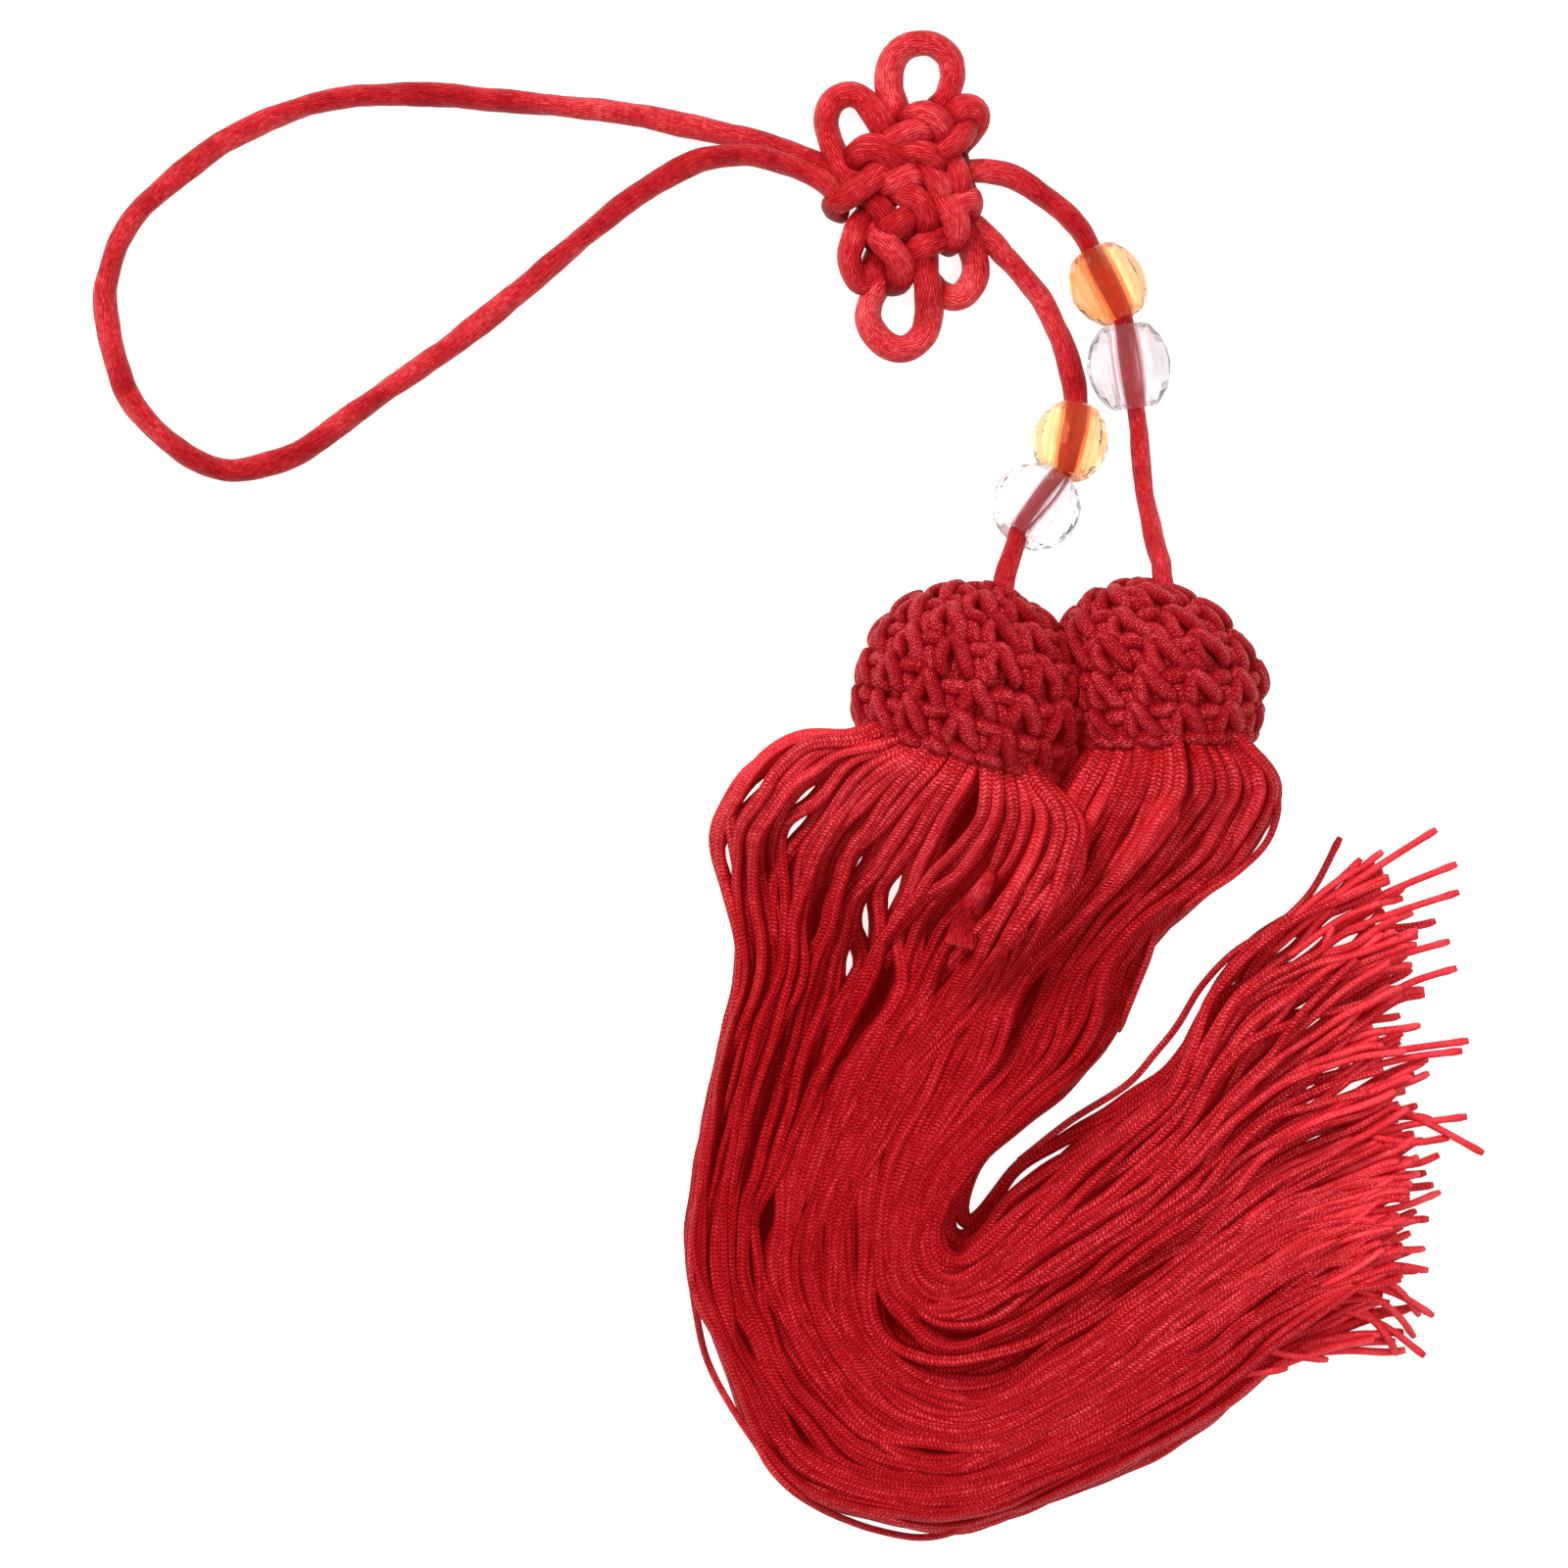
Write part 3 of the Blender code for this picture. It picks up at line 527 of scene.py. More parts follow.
# The ears first, then the arcs that pass over others; letters only tell them apart.
KNOT_ARCS = {
    "top_ear": [(-23.4, 84.0, 2.2), (-24.2, 86.3, 1.9), (-25.0, 88.9, 1.75),
        (-25.0, 91.2, 1.75), (-24.1, 93.2, 1.75), (-22.5, 94.3, 1.75), (-20.6, 94.7, 1.75),
        (-18.8, 94.2, 1.75), (-17.3, 92.6, 1.75), (-16.9, 90.6, 1.75), (-17.3, 88.9, 1.9),
        (-18.1, 87.2, 2.2), (-19.2, 86.0, 2.4), (-19.9, 84.6, 2.2)],
    "left_ear": [(-24.5, 82.0, 2.4), (-25.9, 84.0, 3.0), (-27.2, 85.9, 2.6),
        (-28.7, 87.6, 1.9), (-30.4, 88.1, 1.75), (-32.1, 87.3, 1.75), (-33.1, 85.2, 1.75),
        (-32.9, 82.9, 1.75), (-31.8, 80.3, 2.2), (-30.3, 78.0, 2.8), (-29.1, 76.5, 2.6),
        (-27.7, 74.5, 2.0)],
    "upper_right_ear": [(-17.9, 83.6, 2.8), (-16.9, 85.2, 3.4), (-15.5, 86.4, 3.2),
        (-14.1, 86.0, 2.8), (-13.9, 84.6, 2.3), (-14.8, 83.2, 1.9), (-16.1, 81.8, 2.0),
        (-16.7, 80.6, 2.2)],
    "lower_right_ear": [(-19.9, 64.2, 1.9), (-18.5, 62.8, 1.75), (-16.9, 62.1, 1.75),
        (-15.3, 62.7, 1.75), (-14.2, 64.5, 1.75), (-14.0, 66.5, 1.75), (-14.7, 68.8, 1.9),
        (-15.5, 70.5, 2.2), (-16.2, 72.2, 2.2)],
    "bottom_ear": [(-24.9, 66.2, 2.4), (-26.1, 64.1, 2.1), (-27.3, 61.9, 1.75),
        (-27.7, 59.6, 1.75), (-26.9, 57.5, 1.75), (-25.2, 56.0, 1.75), (-23.5, 55.6, 1.75),
        (-21.8, 56.2, 1.75), (-20.5, 57.7, 1.75), (-20.0, 59.9, 2.2), (-20.0, 62.8, 3.6),
        (-20.4, 65.6, 3.8), (-20.4, 67.9, 2.8)],
    "lower_left_ear": [(-27.8, 72.5, 3.0), (-29.0, 71.1, 3.9), (-29.8, 69.1, 4.1),
        (-30.2, 66.9, 3.8), (-29.5, 64.9, 3.1), (-28.3, 64.2, 2.4), (-27.2, 65.6, 2.1),
        (-26.5, 67.4, 2.3), (-26.0, 68.8, 2.2)],
    "c": [(-29.9, 79.2, 2.4), (-29.1, 80.5, 3.8), (-27.7, 81.3, 4.7), (-26.1, 80.9, 5.0),
        (-24.6, 79.8, 4.6), (-23.7, 78.6, 3.4), (-23.4, 77.4, 2.4)],
    "band": [(-24.5, 79.7, 2.4), (-26.1, 78.6, 3.8), (-27.7, 77.0, 4.9), (-29.5, 75.5, 4.9),
        (-30.8, 74.7, 4.4), (-31.8, 74.3, 3.6), (-31.9, 73.6, 2.6), (-30.8, 73.3, 1.9)],
    "f": [(-22.7, 84.3, 2.4), (-21.8, 85.3, 3.8), (-20.4, 85.7, 4.7), (-18.9, 84.9, 5.0),
        (-18.1, 83.5, 4.4), (-18.1, 82.0, 3.0)],
    "slash": [(-26.0, 80.6, 2.4), (-24.7, 81.9, 3.9), (-23.2, 82.8, 4.8), (-21.6, 83.4, 4.7),
        (-20.4, 83.0, 3.7), (-19.9, 82.0, 2.5)],
    "b": [(-26.4, 75.7, 2.4), (-25.2, 76.4, 3.8), (-23.8, 77.2, 4.7), (-22.4, 77.7, 4.4),
        (-21.4, 77.0, 3.4), (-21.1, 76.0, 2.4)],
    "g": [(-23.8, 79.1, 2.4), (-22.8, 80.1, 3.8), (-21.2, 80.7, 4.8), (-19.6, 80.0, 4.9),
        (-18.8, 78.7, 4.2), (-18.5, 77.4, 3.0)],
    "d": [(-21.4, 79.7, 2.6), (-20.4, 78.6, 3.8), (-19.3, 77.4, 4.7), (-18.6, 76.0, 4.6),
        (-18.6, 74.5, 3.8), (-19.1, 73.1, 2.4)],
    "o": [(-19.1, 79.1, 2.5), (-18.2, 80.6, 3.8), (-17.1, 81.6, 4.4), (-15.9, 82.8, 4.0),
        (-15.0, 84.0, 3.0), (-14.7, 85.0, 2.2)],
    "h": [(-17.9, 80.3, 2.6), (-17.1, 78.8, 3.8), (-16.3, 77.3, 4.3), (-16.0, 75.7, 3.8),
        (-15.9, 74.2, 2.6)],
    "k": [(-24.8, 76.5, 2.6), (-23.4, 75.6, 4.2), (-21.6, 74.7, 5.0), (-20.4, 73.1, 5.0),
        (-20.1, 71.4, 4.2), (-20.4, 69.9, 2.8)],
    "l": [(-28.2, 75.7, 2.6), (-27.1, 74.4, 3.6), (-26.0, 73.1, 3.9), (-24.9, 71.8, 3.2),
        (-24.2, 70.8, 2.2)],
    "m": [(-19.6, 75.7, 2.6), (-18.3, 74.5, 4.2), (-17.1, 73.1, 5.0), (-16.4, 71.2, 4.9),
        (-16.9, 69.5, 4.0), (-17.8, 68.8, 2.6)],
    "n": [(-17.6, 72.2, 2.4), (-16.3, 73.5, 3.9), (-15.6, 74.4, 4.4), (-14.8, 74.6, 3.8),
        (-14.7, 73.7, 3.0), (-15.4, 72.6, 2.2)],
    "p": [(-27.1, 68.8, 2.6), (-26.0, 70.1, 4.0), (-24.5, 71.1, 4.7), (-22.9, 72.1, 4.4),
        (-21.9, 72.5, 3.2), (-21.4, 71.7, 2.2)],
    "q": [(-22.8, 67.1, 2.4), (-21.5, 68.2, 3.9), (-20.1, 69.1, 4.5), (-18.6, 69.8, 4.2),
        (-17.6, 70.2, 3.0)],
    "r": [(-28.1, 71.7, 2.4), (-27.0, 70.4, 3.8), (-25.5, 68.8, 4.9), (-24.1, 67.2, 5.0),
        (-23.5, 65.6, 4.3), (-24.1, 64.3, 3.2), (-25.1, 64.2, 2.2)],
    "s": [(-24.6, 71.6, 1.8), (-22.5, 70.1, 2.0), (-20.6, 68.6, 1.8)],
}

knot_routes = [(points, KNOT_CORD_RADIUS) for points in KNOT_ARCS.values()]
for k in range(4):
    for line in (CROSSINGS[k], [row[k] for row in CROSSINGS]):
        lift = [BELOW_HIGH if (k + i + (line is CROSSINGS[k])) % 2 else BELOW_LOW
                for i in range(4)]
        points = [(*place, z) for place, z in zip(line, lift)]
        knot_routes.append((points, KNOT_CORD_RADIUS_BELOW))
knot_tubes, knot_tones = [], []
for i, (route, radius) in enumerate(knot_routes):
    path = smooth_route(np.array(route) * MM, CORD_STEP)
    path[:, 2] = np.maximum(path[:, 2], radius)
    knot_tubes.append(satin_cord(path, radius, FIRST_KNOT_SEED + i))
    steps = np.arange(len(path))
    from_end = np.minimum(steps, steps[::-1]) * CORD_STEP
    # Painted shade: all over the weave below, and on each arc towards its tucked-in ends.
    shaded = np.full(len(path), SHADE_BELOW)
    if i < len(KNOT_ARCS):
        shaded = SHADE_AT_ENDS * np.clip(1 - from_end / SHADED_LENGTH, 0, 1)
    knot_tones.append(np.repeat(KNOT_TONE - shaded, CORD_SIDES))
knot = yarn_object("woven_knot", knot_tubes, satin, knot_tones)
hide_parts("knot")

# ---------------------------------------------------------------------------------------
# The heads: caps crocheted in the round from 1.9 mm tubular-knit cord over the tied roots.
# Each stitch is a leaning loop of two legs, a bar beside its top and a post below the bar.
# A head's ball in mm: its middle and its half width, height and length. Then the way that
# its strands leave it (degrees), how far its top leans aside, and the stitches of each round.
HEADS = {
    "head_a": {"centre": (-14.5, 10.9, 11.6), "sizes": (15.4, 12.3, 14.7), "heading": -105.9,
               "lean": 0.6, "seed": 5, "stitches": (4, 8, 11, 13, 14, 14)},
    "head_b": {"centre": (9.8, 12.3, 10.8), "sizes": (13.3, 11.4, 13.9), "heading": -88.0,
               "lean": 3.3, "seed": 6, "stitches": (4, 7, 9, 11, 12, 12)},
}
RIM_ANGLE = math.pi * 21 / 31
YARN_HALF_WIDTH = 1.07 * MM
YARN_HALF_HEIGHT = 0.90 * MM
YARN_STEP = 0.45 * MM
YARN_SIDES = 10
# How deep in the ball the stitches lie (mm), how clear of head A those of head B keep, and how
# deep the linings lie, also where B's is nearer to A than its stitches are.
BALL_INSET = 1.15
HEADS_APART = 0.3 * MM
LINING_DEPTH = 3.0 * MM
LININGS_CLOSER = 1.3 * MM
LINING_FLOOR = 0.4 * MM
# How much stitches differ: across (cells), down (rows) and lift (mm) of a whole stitch, and
# across and down of each of its points.
STITCH_SCATTER = (0.05, 0.06, 0.14)
ACROSS_SCATTER, DOWN_SCATTER = 0.018, 0.025


def knit_finish(name, columns, pitch, relief_shading, tones):
    """Fine tubular knit: columns of little V stitches, each pitch mm long, with painted light and
    shade.
    """
    w = Wiring(name)
    around, along = w.yarn()
    place = w.times(around, columns)
    lean = w.times(w.math("ABSOLUTE", w.minus(w.math("FRACT", place), 0.5)), 1.5)
    stitch = w.arch(w.plus(w.times(along, 1 / pitch), lean))
    leg = w.math("ABSOLUTE", w.math("SINE", w.times(place, math.tau)))
    height = w.times(w.math("POWER", stitch, 0.9), w.math("POWER", leg, 0.5))
    tone = w.carried("shade")
    patch = w.noise(w.vector(w.times(around, 2.0), w.times(along, 0.22), w.times(tone, 6.0)),
                    detail=3.0, roughness=0.6)
    speck = w.noise(w.vector(w.times(around, columns * 2.2), w.times(along, 2.0 / pitch), tone),
                    roughness=0.6)
    # The knit is crisp (1) on darker yarn and worn nearly smooth (0.12) on the palest.
    crisp = w.minus(2.15, w.times(tone, 1.7))
    crisp = w.math("MINIMUM", w.math("MAXIMUM", crisp, 0.12), 1.0)
    # Painted light: stitch tops lighter, grooves and yarn sides darker; strands' tones carry painted
    # shade too.
    crown = w.math("MAXIMUM", w.carried("crown"), -0.3)
    light = w.plus(w.swing(height, 0.5, w.times(crisp, relief_shading)), w.swing(patch, 0.5, 0.40),
                   w.swing(speck, 0.5, w.plus(0.25, w.times(crisp, 0.5))),
                   w.swing(tone, 0.5, 0.22), w.swing(crown, 0.72, 0.24), 0.37)
    # From deep painted shade up to a pink painted highlight.
    w.paint(light, tones)
    set_inputs(w.shader, {**RED_YARN, "Roughness": 0.45, "Specular IOR Level": 0.12})
    # A painted red glow, stronger on the palest yarn, lifts its shade.
    w.put(w.plus(0.065, w.times(w.minus(1.0, crisp), 0.07)),
          w.shader.inputs["Emission Strength"])
    w.bump(w.times(height, crisp), 0.9, 0.0003)
    return w.material


crochet_yarn = knit_finish("crochet_knit", 9.0, 0.40, 0.36, [
    (0.00, (0.095, 0.0008, 0.002)), (0.26, (0.285, 0.0033, 0.007)),
    (0.50, (0.445, 0.012, 0.020)), (0.70, (0.78, 0.100, 0.120))])


def shaded_root_finish():
    """The dull red thread of the tied roots, painted dark for the cap's shade, seen only between
    stitches.
    """
    w = Wiring("shaded_root_bundle")
    thread = w.node("TexNoise")
    set_inputs(thread, {"Scale": 900.0})
    w.paint(thread.outputs["Fac"], [(0.3, (0.10, 0.001, 0.003)), (0.7, (0.24, 0.004, 0.008))])
    set_inputs(w.shader, {"Roughness": 0.8})
    w.bump(thread.outputs["Fac"], 0.6, 0.0004)
    return w.material


shaded_root_thread = shaded_root_finish()


def head_axes(spec):
    """A head's three directions: across it, up, and along it towards its top."""
    heading = math.radians(spec["heading"])
    top = -np.array([math.cos(heading), math.sin(heading), 0.0])
    return np.array([[-top[1], top[0], 0.0], [0.0, 0.0, 1.0], top])


def head_place(spec, theta, phi, lift):
    """Points of the cap, theta from its top and phi round it, lifted off its ball.

    The ball's top half leans a little to one side, as the head does in the picture."""
    width, height, length = (size * MM + lift for size in spec["sizes"])
    lean = spec["lean"] * MM * np.maximum(0, np.cos(theta))
    across, upward, top = head_axes(spec)
    return (np.array(spec["centre"]) * MM
            + across * (width * np.sin(theta) * np.cos(phi) + lean)[..., None]
            + upward * (height * np.sin(theta) * np.sin(phi))[..., None]
            + top * (length * np.cos(theta))[..., None])


def clear_of_ball(points, spec, room):
    """Moves points that lie inside a head's ball out to just off its surface."""
    axes = head_axes(spec)
    centre = np.array(spec["centre"]) * MM
    offset = (points - centre) @ axes.T
    depth = np.linalg.norm(offset / (np.array(spec["sizes"]) * MM + room), axis=-1,
                           keepdims=True)
    moved = (offset / np.minimum(depth, 1.0)) @ axes + centre
    return np.where(depth < 1.0, moved, points)


# The parts of a stitch: across (cells), down (rows) and lift (mm) of each point.
STITCH_PARTS = {
    "leg_right": [(0.35, 0.16, -1.6), (0.31, 0.00, -0.2), (0.40, -0.05, 0.45),
                  (0.52, 0.12, 0.60), (0.66, 0.36, 0.60), (0.79, 0.60, 0.35),
                  (0.86, 0.72, -0.35), (0.87, 0.76, -1.6)],
    "leg_left": [(0.37, 0.00, -0.5), (0.29, 0.14, 0.15), (0.25, 0.38, 0.30),
                 (0.26, 0.62, 0.10), (0.33, 0.78, -0.45), (0.42, 0.82, -1.5)],
    "bar": [(0.70, 0.22, -1.4), (0.78, 0.12, -0.15), (0.96, 0.06, 0.25),
            (1.14, 0.05, 0.0), (1.24, 0.12, -1.3)],
    "post": [(0.84, 0.38, -1.4), (0.94, 0.38, -0.45), (1.06, 0.54, -0.15),
             (1.16, 0.74, -0.50), (1.20, 0.86, -1.5)],
    "back": [(0.42, 0.30, -1.7), (0.50, 0.50, -1.35), (0.55, 0.72, -1.45), (0.56, 0.94, -1.8)],
    "under": [(0.0, 0.93, -1.8), (0.35, 0.90, -1.7), (0.7, 0.93, -1.7), (1.05, 0.92, -1.8)],
}
# The last round is a chain of short plump bars along the rim.
RIM_BAR = {"bar": [(0.0, 0.02, -1.2), (0.22, 0.0, 0.2), (0.5, -0.02, 0.5), (0.78, 0.06, 0.2),
                   (1.02, 0.10, -1.2)]}
RIM_BARS = 22


def crochet(head_name, spec):
    """A cap's stitches, round by round and its rim last: their tubes, and a tone for each."""
    draw = np.random.default_rng(spec["seed"])
    tubes, tones = [], []
    rows = len(spec["stitches"])
    for row, count in enumerate((*spec["stitches"], RIM_BARS)):
        start = draw.uniform(0, 1)
        for column in range(count):
            aside, dropped, raised = draw.normal(0, STITCH_SCATTER)
            size = draw.uniform(0.90, 1.10)
            for points in (STITCH_PARTS if row < rows else RIM_BAR).values():
                across, down, lift = np.array(points).T
                down = 0.45 + (down - 0.45) * size + dropped if row < rows else down - 0.2
                down = down + draw.normal(0, DOWN_SCATTER, len(down))
                across = across + draw.normal(0, ACROSS_SCATTER, len(across))
                theta = np.minimum((row + 0.10 + down) * RIM_ANGLE / rows, RIM_ANGLE * 1.03)
                phi = (column + start + across + aside) * math.tau / count
                place = head_place(spec, np.maximum(theta, 0.03), phi,
                                   (lift + raised - BALL_INSET) * MM)
                if head_name == "head_b":
                    place = clear_of_ball(place, HEADS["head_a"], HEADS_APART)
                path = smooth_route(place, YARN_STEP)
                path[:, 2] = np.maximum(path[:, 2], YARN_HALF_HEIGHT)
                plump = 0.80 + 0.26 * np.sin(np.linspace(0, math.pi, len(path)))
                width = YARN_HALF_WIDTH * draw.uniform(0.93, 1.05) * plump
                tubes.append(tube(path, width, YARN_HALF_HEIGHT * plump, YARN_SIDES,
                                  outward=path - np.array(spec["centre"]) * MM))
                tones.append(draw.uniform(0.25, 0.75))
    return tubes, tones


def line_cap(head_name, spec):
    """The closed ball of roots inside a cap, a little smaller than the cap."""
    theta, phi = np.meshgrid(np.linspace(0.02, RIM_ANGLE * 0.97, 20),
                             np.linspace(0, math.tau, 48, endpoint=False), indexing="ij")
    shell = head_place(spec, theta, phi, -LINING_DEPTH)
    if head_name == "head_b":
        shell = clear_of_ball(shell, HEADS["head_a"], HEADS_APART - LININGS_CLOSER)
    shell[..., 2] = np.maximum(shell[..., 2], LINING_FLOOR)
    rings, columns = theta.shape
    cells = [[i * columns + k, i * columns + (k + 1) % columns,
              (i + 1) * columns + (k + 1) % columns, (i + 1) * columns + k]
             for i in range(rings - 1) for k in range(columns)]
    cells += [list(range(columns - 1, -1, -1)),
              list(range((rings - 1) * columns, rings * columns))]
    mesh = bpy.data.meshes.new(head_name + "_lining")
    mesh.from_pydata(shell.reshape(-1, 3).tolist(), [], cells)
    mesh.materials.append(shaded_root_thread)
    lining = into_scene(head_name + "_lining", mesh)
    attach(lining, "root")


for head_name, spec in HEADS.items():
    tubes, tones = crochet(head_name, spec)
    half = len(tubes) // 2
    for part, chosen in (("top", slice(0, half)), ("rim", slice(half, None))):
        cap = yarn_object(f"{head_name}_crochet_{part}", tubes[chosen], crochet_yarn,
                          tones[chosen])
        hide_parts(head_name)
    line_cap(head_name, spec)

# ---------------------------------------------------------------------------------------
# The skirts: about a hundred strands of tubular-knit cord to a tassel, tied inside the
# cap and hanging free. Here they lie in a heap that curls round to the right, each strand
# resting on those below it, with cut ends of uneven length.
# The edges of each tassel at fifteen places from the rim to the cut ends, in mm:
# skirt_a's outer and inner edge (x, y, x, y), then skirt_b's.
SKIRT_SECTIONS = np.array([
    (-38.8, 6.0, 0.8, -4.8, -4.8, -0.2, 25.8, -0.1),
    (-47.8, -4.4, 0.0, -12.2, -7.2, -9.0, 20.6, -9.6),
    (-46.3, -13.1, -5.5, -19.0, -9.8, -17.2, 12.4, -16.2),
    (-44.2, -22.8, -10.8, -27.2, -18.1, -26.0, 6.8, -22.8),
    (-47.0, -33.8, -18.9, -36.3, -24.4, -36.2, 2.0, -34.6),
    (-50.2, -48.8, -26.0, -48.6, -30.0, -48.9, -11.1, -46.0),
    (-51.2, -60.6, -28.9, -57.6, -32.8, -58.6, -14.4, -51.5),
    (-49.9, -68.5, -28.1, -66.2, -31.9, -67.6, -15.5, -55.2),
    (-44.5, -81.0, -23.8, -72.7, -26.9, -75.3, -14.4, -56.8),
    (-35.8, -92.5, -18.1, -76.4, -20.2, -79.8, -12.2, -53.8),
    (-19.1, -96.2, -11.2, -76.8, -12.1, -80.7, -7.9, -47.9),
    (0.4, -90.1, 0.9, -69.0, 0.9, -73.0, 0.5, -42.8),
    (16.1, -82.0, 14.4, -58.6, 14.8, -62.6, 11.5, -35.6),
    (25.3, -74.0, 27.6, -50.8, 27.9, -54.7, 20.1, -21.2),
    (43.6, -66.6, 48.0, -44.3, 48.0, -48.2, 44.0, -6.3),
])
# A tassel's first column above, its layers and strands across, how far its upper layers draw
# back from the inner edge in the turn, the length of the cap's painted shadow on it (mm), its
# painted sheen near the cap, and how strongly it crowds to its outer edge at each place.
SKIRTS = {
    "skirt_b": {"head": "head_b", "first": 4, "layers": 7, "across": 17, "seed": 21,
                "over": 0.38, "shadow": 12.0, "sheen": 0.25,
                "lean": (1, 1.2, 1.3, 1.3, 1.2, 1.1, 1, 1, 1, 1, 1, 1, 1, 1, 1)},
    "skirt_a": {"head": "head_a", "first": 0, "layers": 6, "across": 20, "seed": 22,
                "over": 0.10, "shadow": 6.0, "sheen": 0.38,
                "lean": (1, 1.1, 1.3, 1.4, 1.4, 1.35, 1.3, 1.2, 1.15, 1.1, 1, 1, 1, 1, 1)},
}
# Where the turn is, from 0 to 1, place by place.
INSIDE_TURN = np.array([0, 0, 0, 0, 0, 0.2, 0.6, 1, 1, 1, 0.8, 0.5, 0.2, 0, 0])
STRAND_HALF_WIDTH = 0.84 * MM
STRAND_HALF_HEIGHT = 0.46 * MM
STRAND_STEP = 1.1 * MM
STRAND_SIDES = 8
EDGE_ROOM = 0.9 * MM
# Where a strand starts inside its cap: along the cap from its rim (mm), and how far out it is
# there, as a share of the rim's radius. Up and down, strands are packed closer by a share.
STRAND_ROOTS = ((-2.6, 0.74), (-0.6, 0.88))
ROOTS_CLOSER = 0.09
# Over this length a strand comes down from its cap.
LANDING = 32.0 * MM
# Strands weave from side to side: size and the range of the period of each wave. They also
# stray near their ends, over the last 24 mm. All in mm.
WEAVES = ((0.30, 18, 30), (0.10, 8, 12))
END_STRAY, END_STRAY_LENGTH = 1.3, 24
# Towards its end a strand turns aside (radians, at most so much) and is cut off unevenly, by
# so many steps of its path.
END_TURN, MOST_TURN = 0.17, 0.36
CUT_SCATTER = 4.0
# Its width by the distance from its root (mm), and how much narrower it gets near its end.
# It is pale and thin over the last 42 mm, and palest over the last 14.
STRAND_WIDTHS = ((0, 25, 60), (1.14, 1.11, 1.0))
THINNER_END, TIP_WIDTH = 0.40, 0.75
THIN_LENGTH, PALE_LENGTH = 42, 14
# Painted shade on strands, by the distance from their roots (mm). The first, a painted sheen, is each
# tassel's own.
SHADE_PLACES = (20, 45, 75, 105, 135)
SHADES = (0.58, 0.75, 0.35, 0.1)
# The heap is a field of heights in square cells. A strand raises it to a share of its half
# height above its own middle, but not over the limit where strands lie on the table.
PILE_LIMIT = 8.5 * MM
SETTLING = 0.40
CELL = 0.4 * MM
FIELD_LOW = np.array([-60.0, -105.0]) * MM
FIELD_SHAPE = (300, 320)
# Where the strands lie apart: x and y (mm), heading (degrees), half its length, how far each
# strand gives way, to which side (0 is both), the lowest layer (share) that gives way, painted shade.
PARTINGS = [
    (-25.2, -14.2, 60, 4.2, 1.05, 0, 0.0, 0.0), (-35.7, -1.7, 38, 3.6, 1.05, 0, 0.0, 0.0),
    (-37.0, -5.1, 55, 3.4, 1.00, 0, 0.0, 0.0), (-42.0, -0.5, 60, 6.5, 0.90, 0, 0.0, 0.0),
    (-45.6, -10.0, 99, 5.5, 0.90, 0, 0.0, 0.0), (-30.1, -22.4, 80, 3.2, 0.95, 0, 0.0, 0.0),
    (-28.8, -9.5, 59, 3.0, 0.80, 0, 0.0, 0.0), (-28.0, -16.6, 75, 3.2, 0.75, 0, 0.0, 0.0),
    (-48.4, -73.8, 118, 7.5, 1.50, -1, 0.0, 0.0), (-34.0, -92.2, -32, 6.5, 1.10, 1, 0.0, 0.0),
    (-26.4, -95.4, -12, 7.0, 1.50, 1, 0.0, 0.0), (26.0, -20.4, 42, 3.6, 0.75, 0, 0.0, 0.0),
    (33.2, -19.9, 36, 3.2, 0.75, 0, 0.0, 0.0), (40.1, -28.6, 27, 3.4, 0.80, 0, 0.0, 0.0),
    (42.1, -46.9, -9, 2.8, 0.80, 0, 0.0, 0.0), (38.3, -54.2, 21, 3.0, 0.80, 0, 0.0, 0.0),
    (39.7, -64.6, -32, 3.0, 0.90, 0, 0.0, 0.0),
    (-16.0, -4.8, 54, 6.0, 1.20, 0, 0.5, 0.9), (-26.0, -26.0, 52, 6.0, 1.10, 0, 0.5, 0.6),
    (-34.5, -18.1, 75, 3.5, 0.90, 0, 0.5, 0.5), (-43.2, -71.0, 100, 4.0, 1.00, 0, 0.5, 0.6),
    (-24.2, -69.6, 115, 4.0, 1.00, 0, 0.5, 0.6), (-40.9, -55.2, 95, 4.0, 1.00, 0, 0.5, 0.6),
    (-29.4, -58.5, 92, 6.0, 1.00, 0, 0.5, 0.7), (0.5, -8.8, 60, 6.0, 0.60, 0, 0.5, 1.0),
    (-34.0, -60.0, 88, 4.0, 0.90, 0, 0.5, 0.7), (-36.0, -83.0, 132, 5.0, 0.90, 0, 0.5, 0.7),
    (-20.0, -85.0, 160, 6.0, 0.90, 0, 0.5, 0.7), (-7.0, -26.5, 52, 6.0, 0.90, 0, 0.5, 0.7),
]
silk = knit_finish("strand_knit", 4.0, 0.54, 0.37, [
    (0.00, (0.20, 0.0012, 0.002)), (0.24, (0.38, 0.0050, 0.008)),
    (0.48, (0.55, 0.018, 0.026)), (0.76, (0.93, 0.105, 0.125))])
heap = np.zeros(FIELD_SHAPE)


def heap_under(path, side):
    """The heap's cells below four places across a strand, and its height there."""
    spots = np.stack([path[:, :2] + side[:, :2] * STRAND_HALF_WIDTH * k
                      for k in (-0.8, -0.27, 0.27, 0.8)])
    cells = np.floor((spots - FIELD_LOW) / CELL).astype(int)
    cells = np.clip(cells, 0, np.array(FIELD_SHAPE) - 1)
    return cells, heap[cells[..., 0], cells[..., 1]].max(axis=0)


def spread(values, reach, kind="mean"):
    """A running mean or maximum over a strand's length."""
    padded = np.pad(values, reach, mode="edge")
    windows = np.lib.stride_tricks.sliding_window_view(padded, 2 * reach + 1)
    return windows.max(axis=1) if kind == "max" else windows.mean(axis=1)


def edges_of(skirt):
    """A tassel's two edges, drawn in by a little more than half a strand."""
    left = SKIRT_SECTIONS[:, skirt["first"]:skirt["first"] + 2] * MM
    right = SKIRT_SECTIONS[:, skirt["first"] + 2:skirt["first"] + 4] * MM
    inward = (right - left) / np.linalg.norm(right - left, axis=1)[:, None]
    return left + inward * EDGE_ROOM, right - inward * EDGE_ROOM


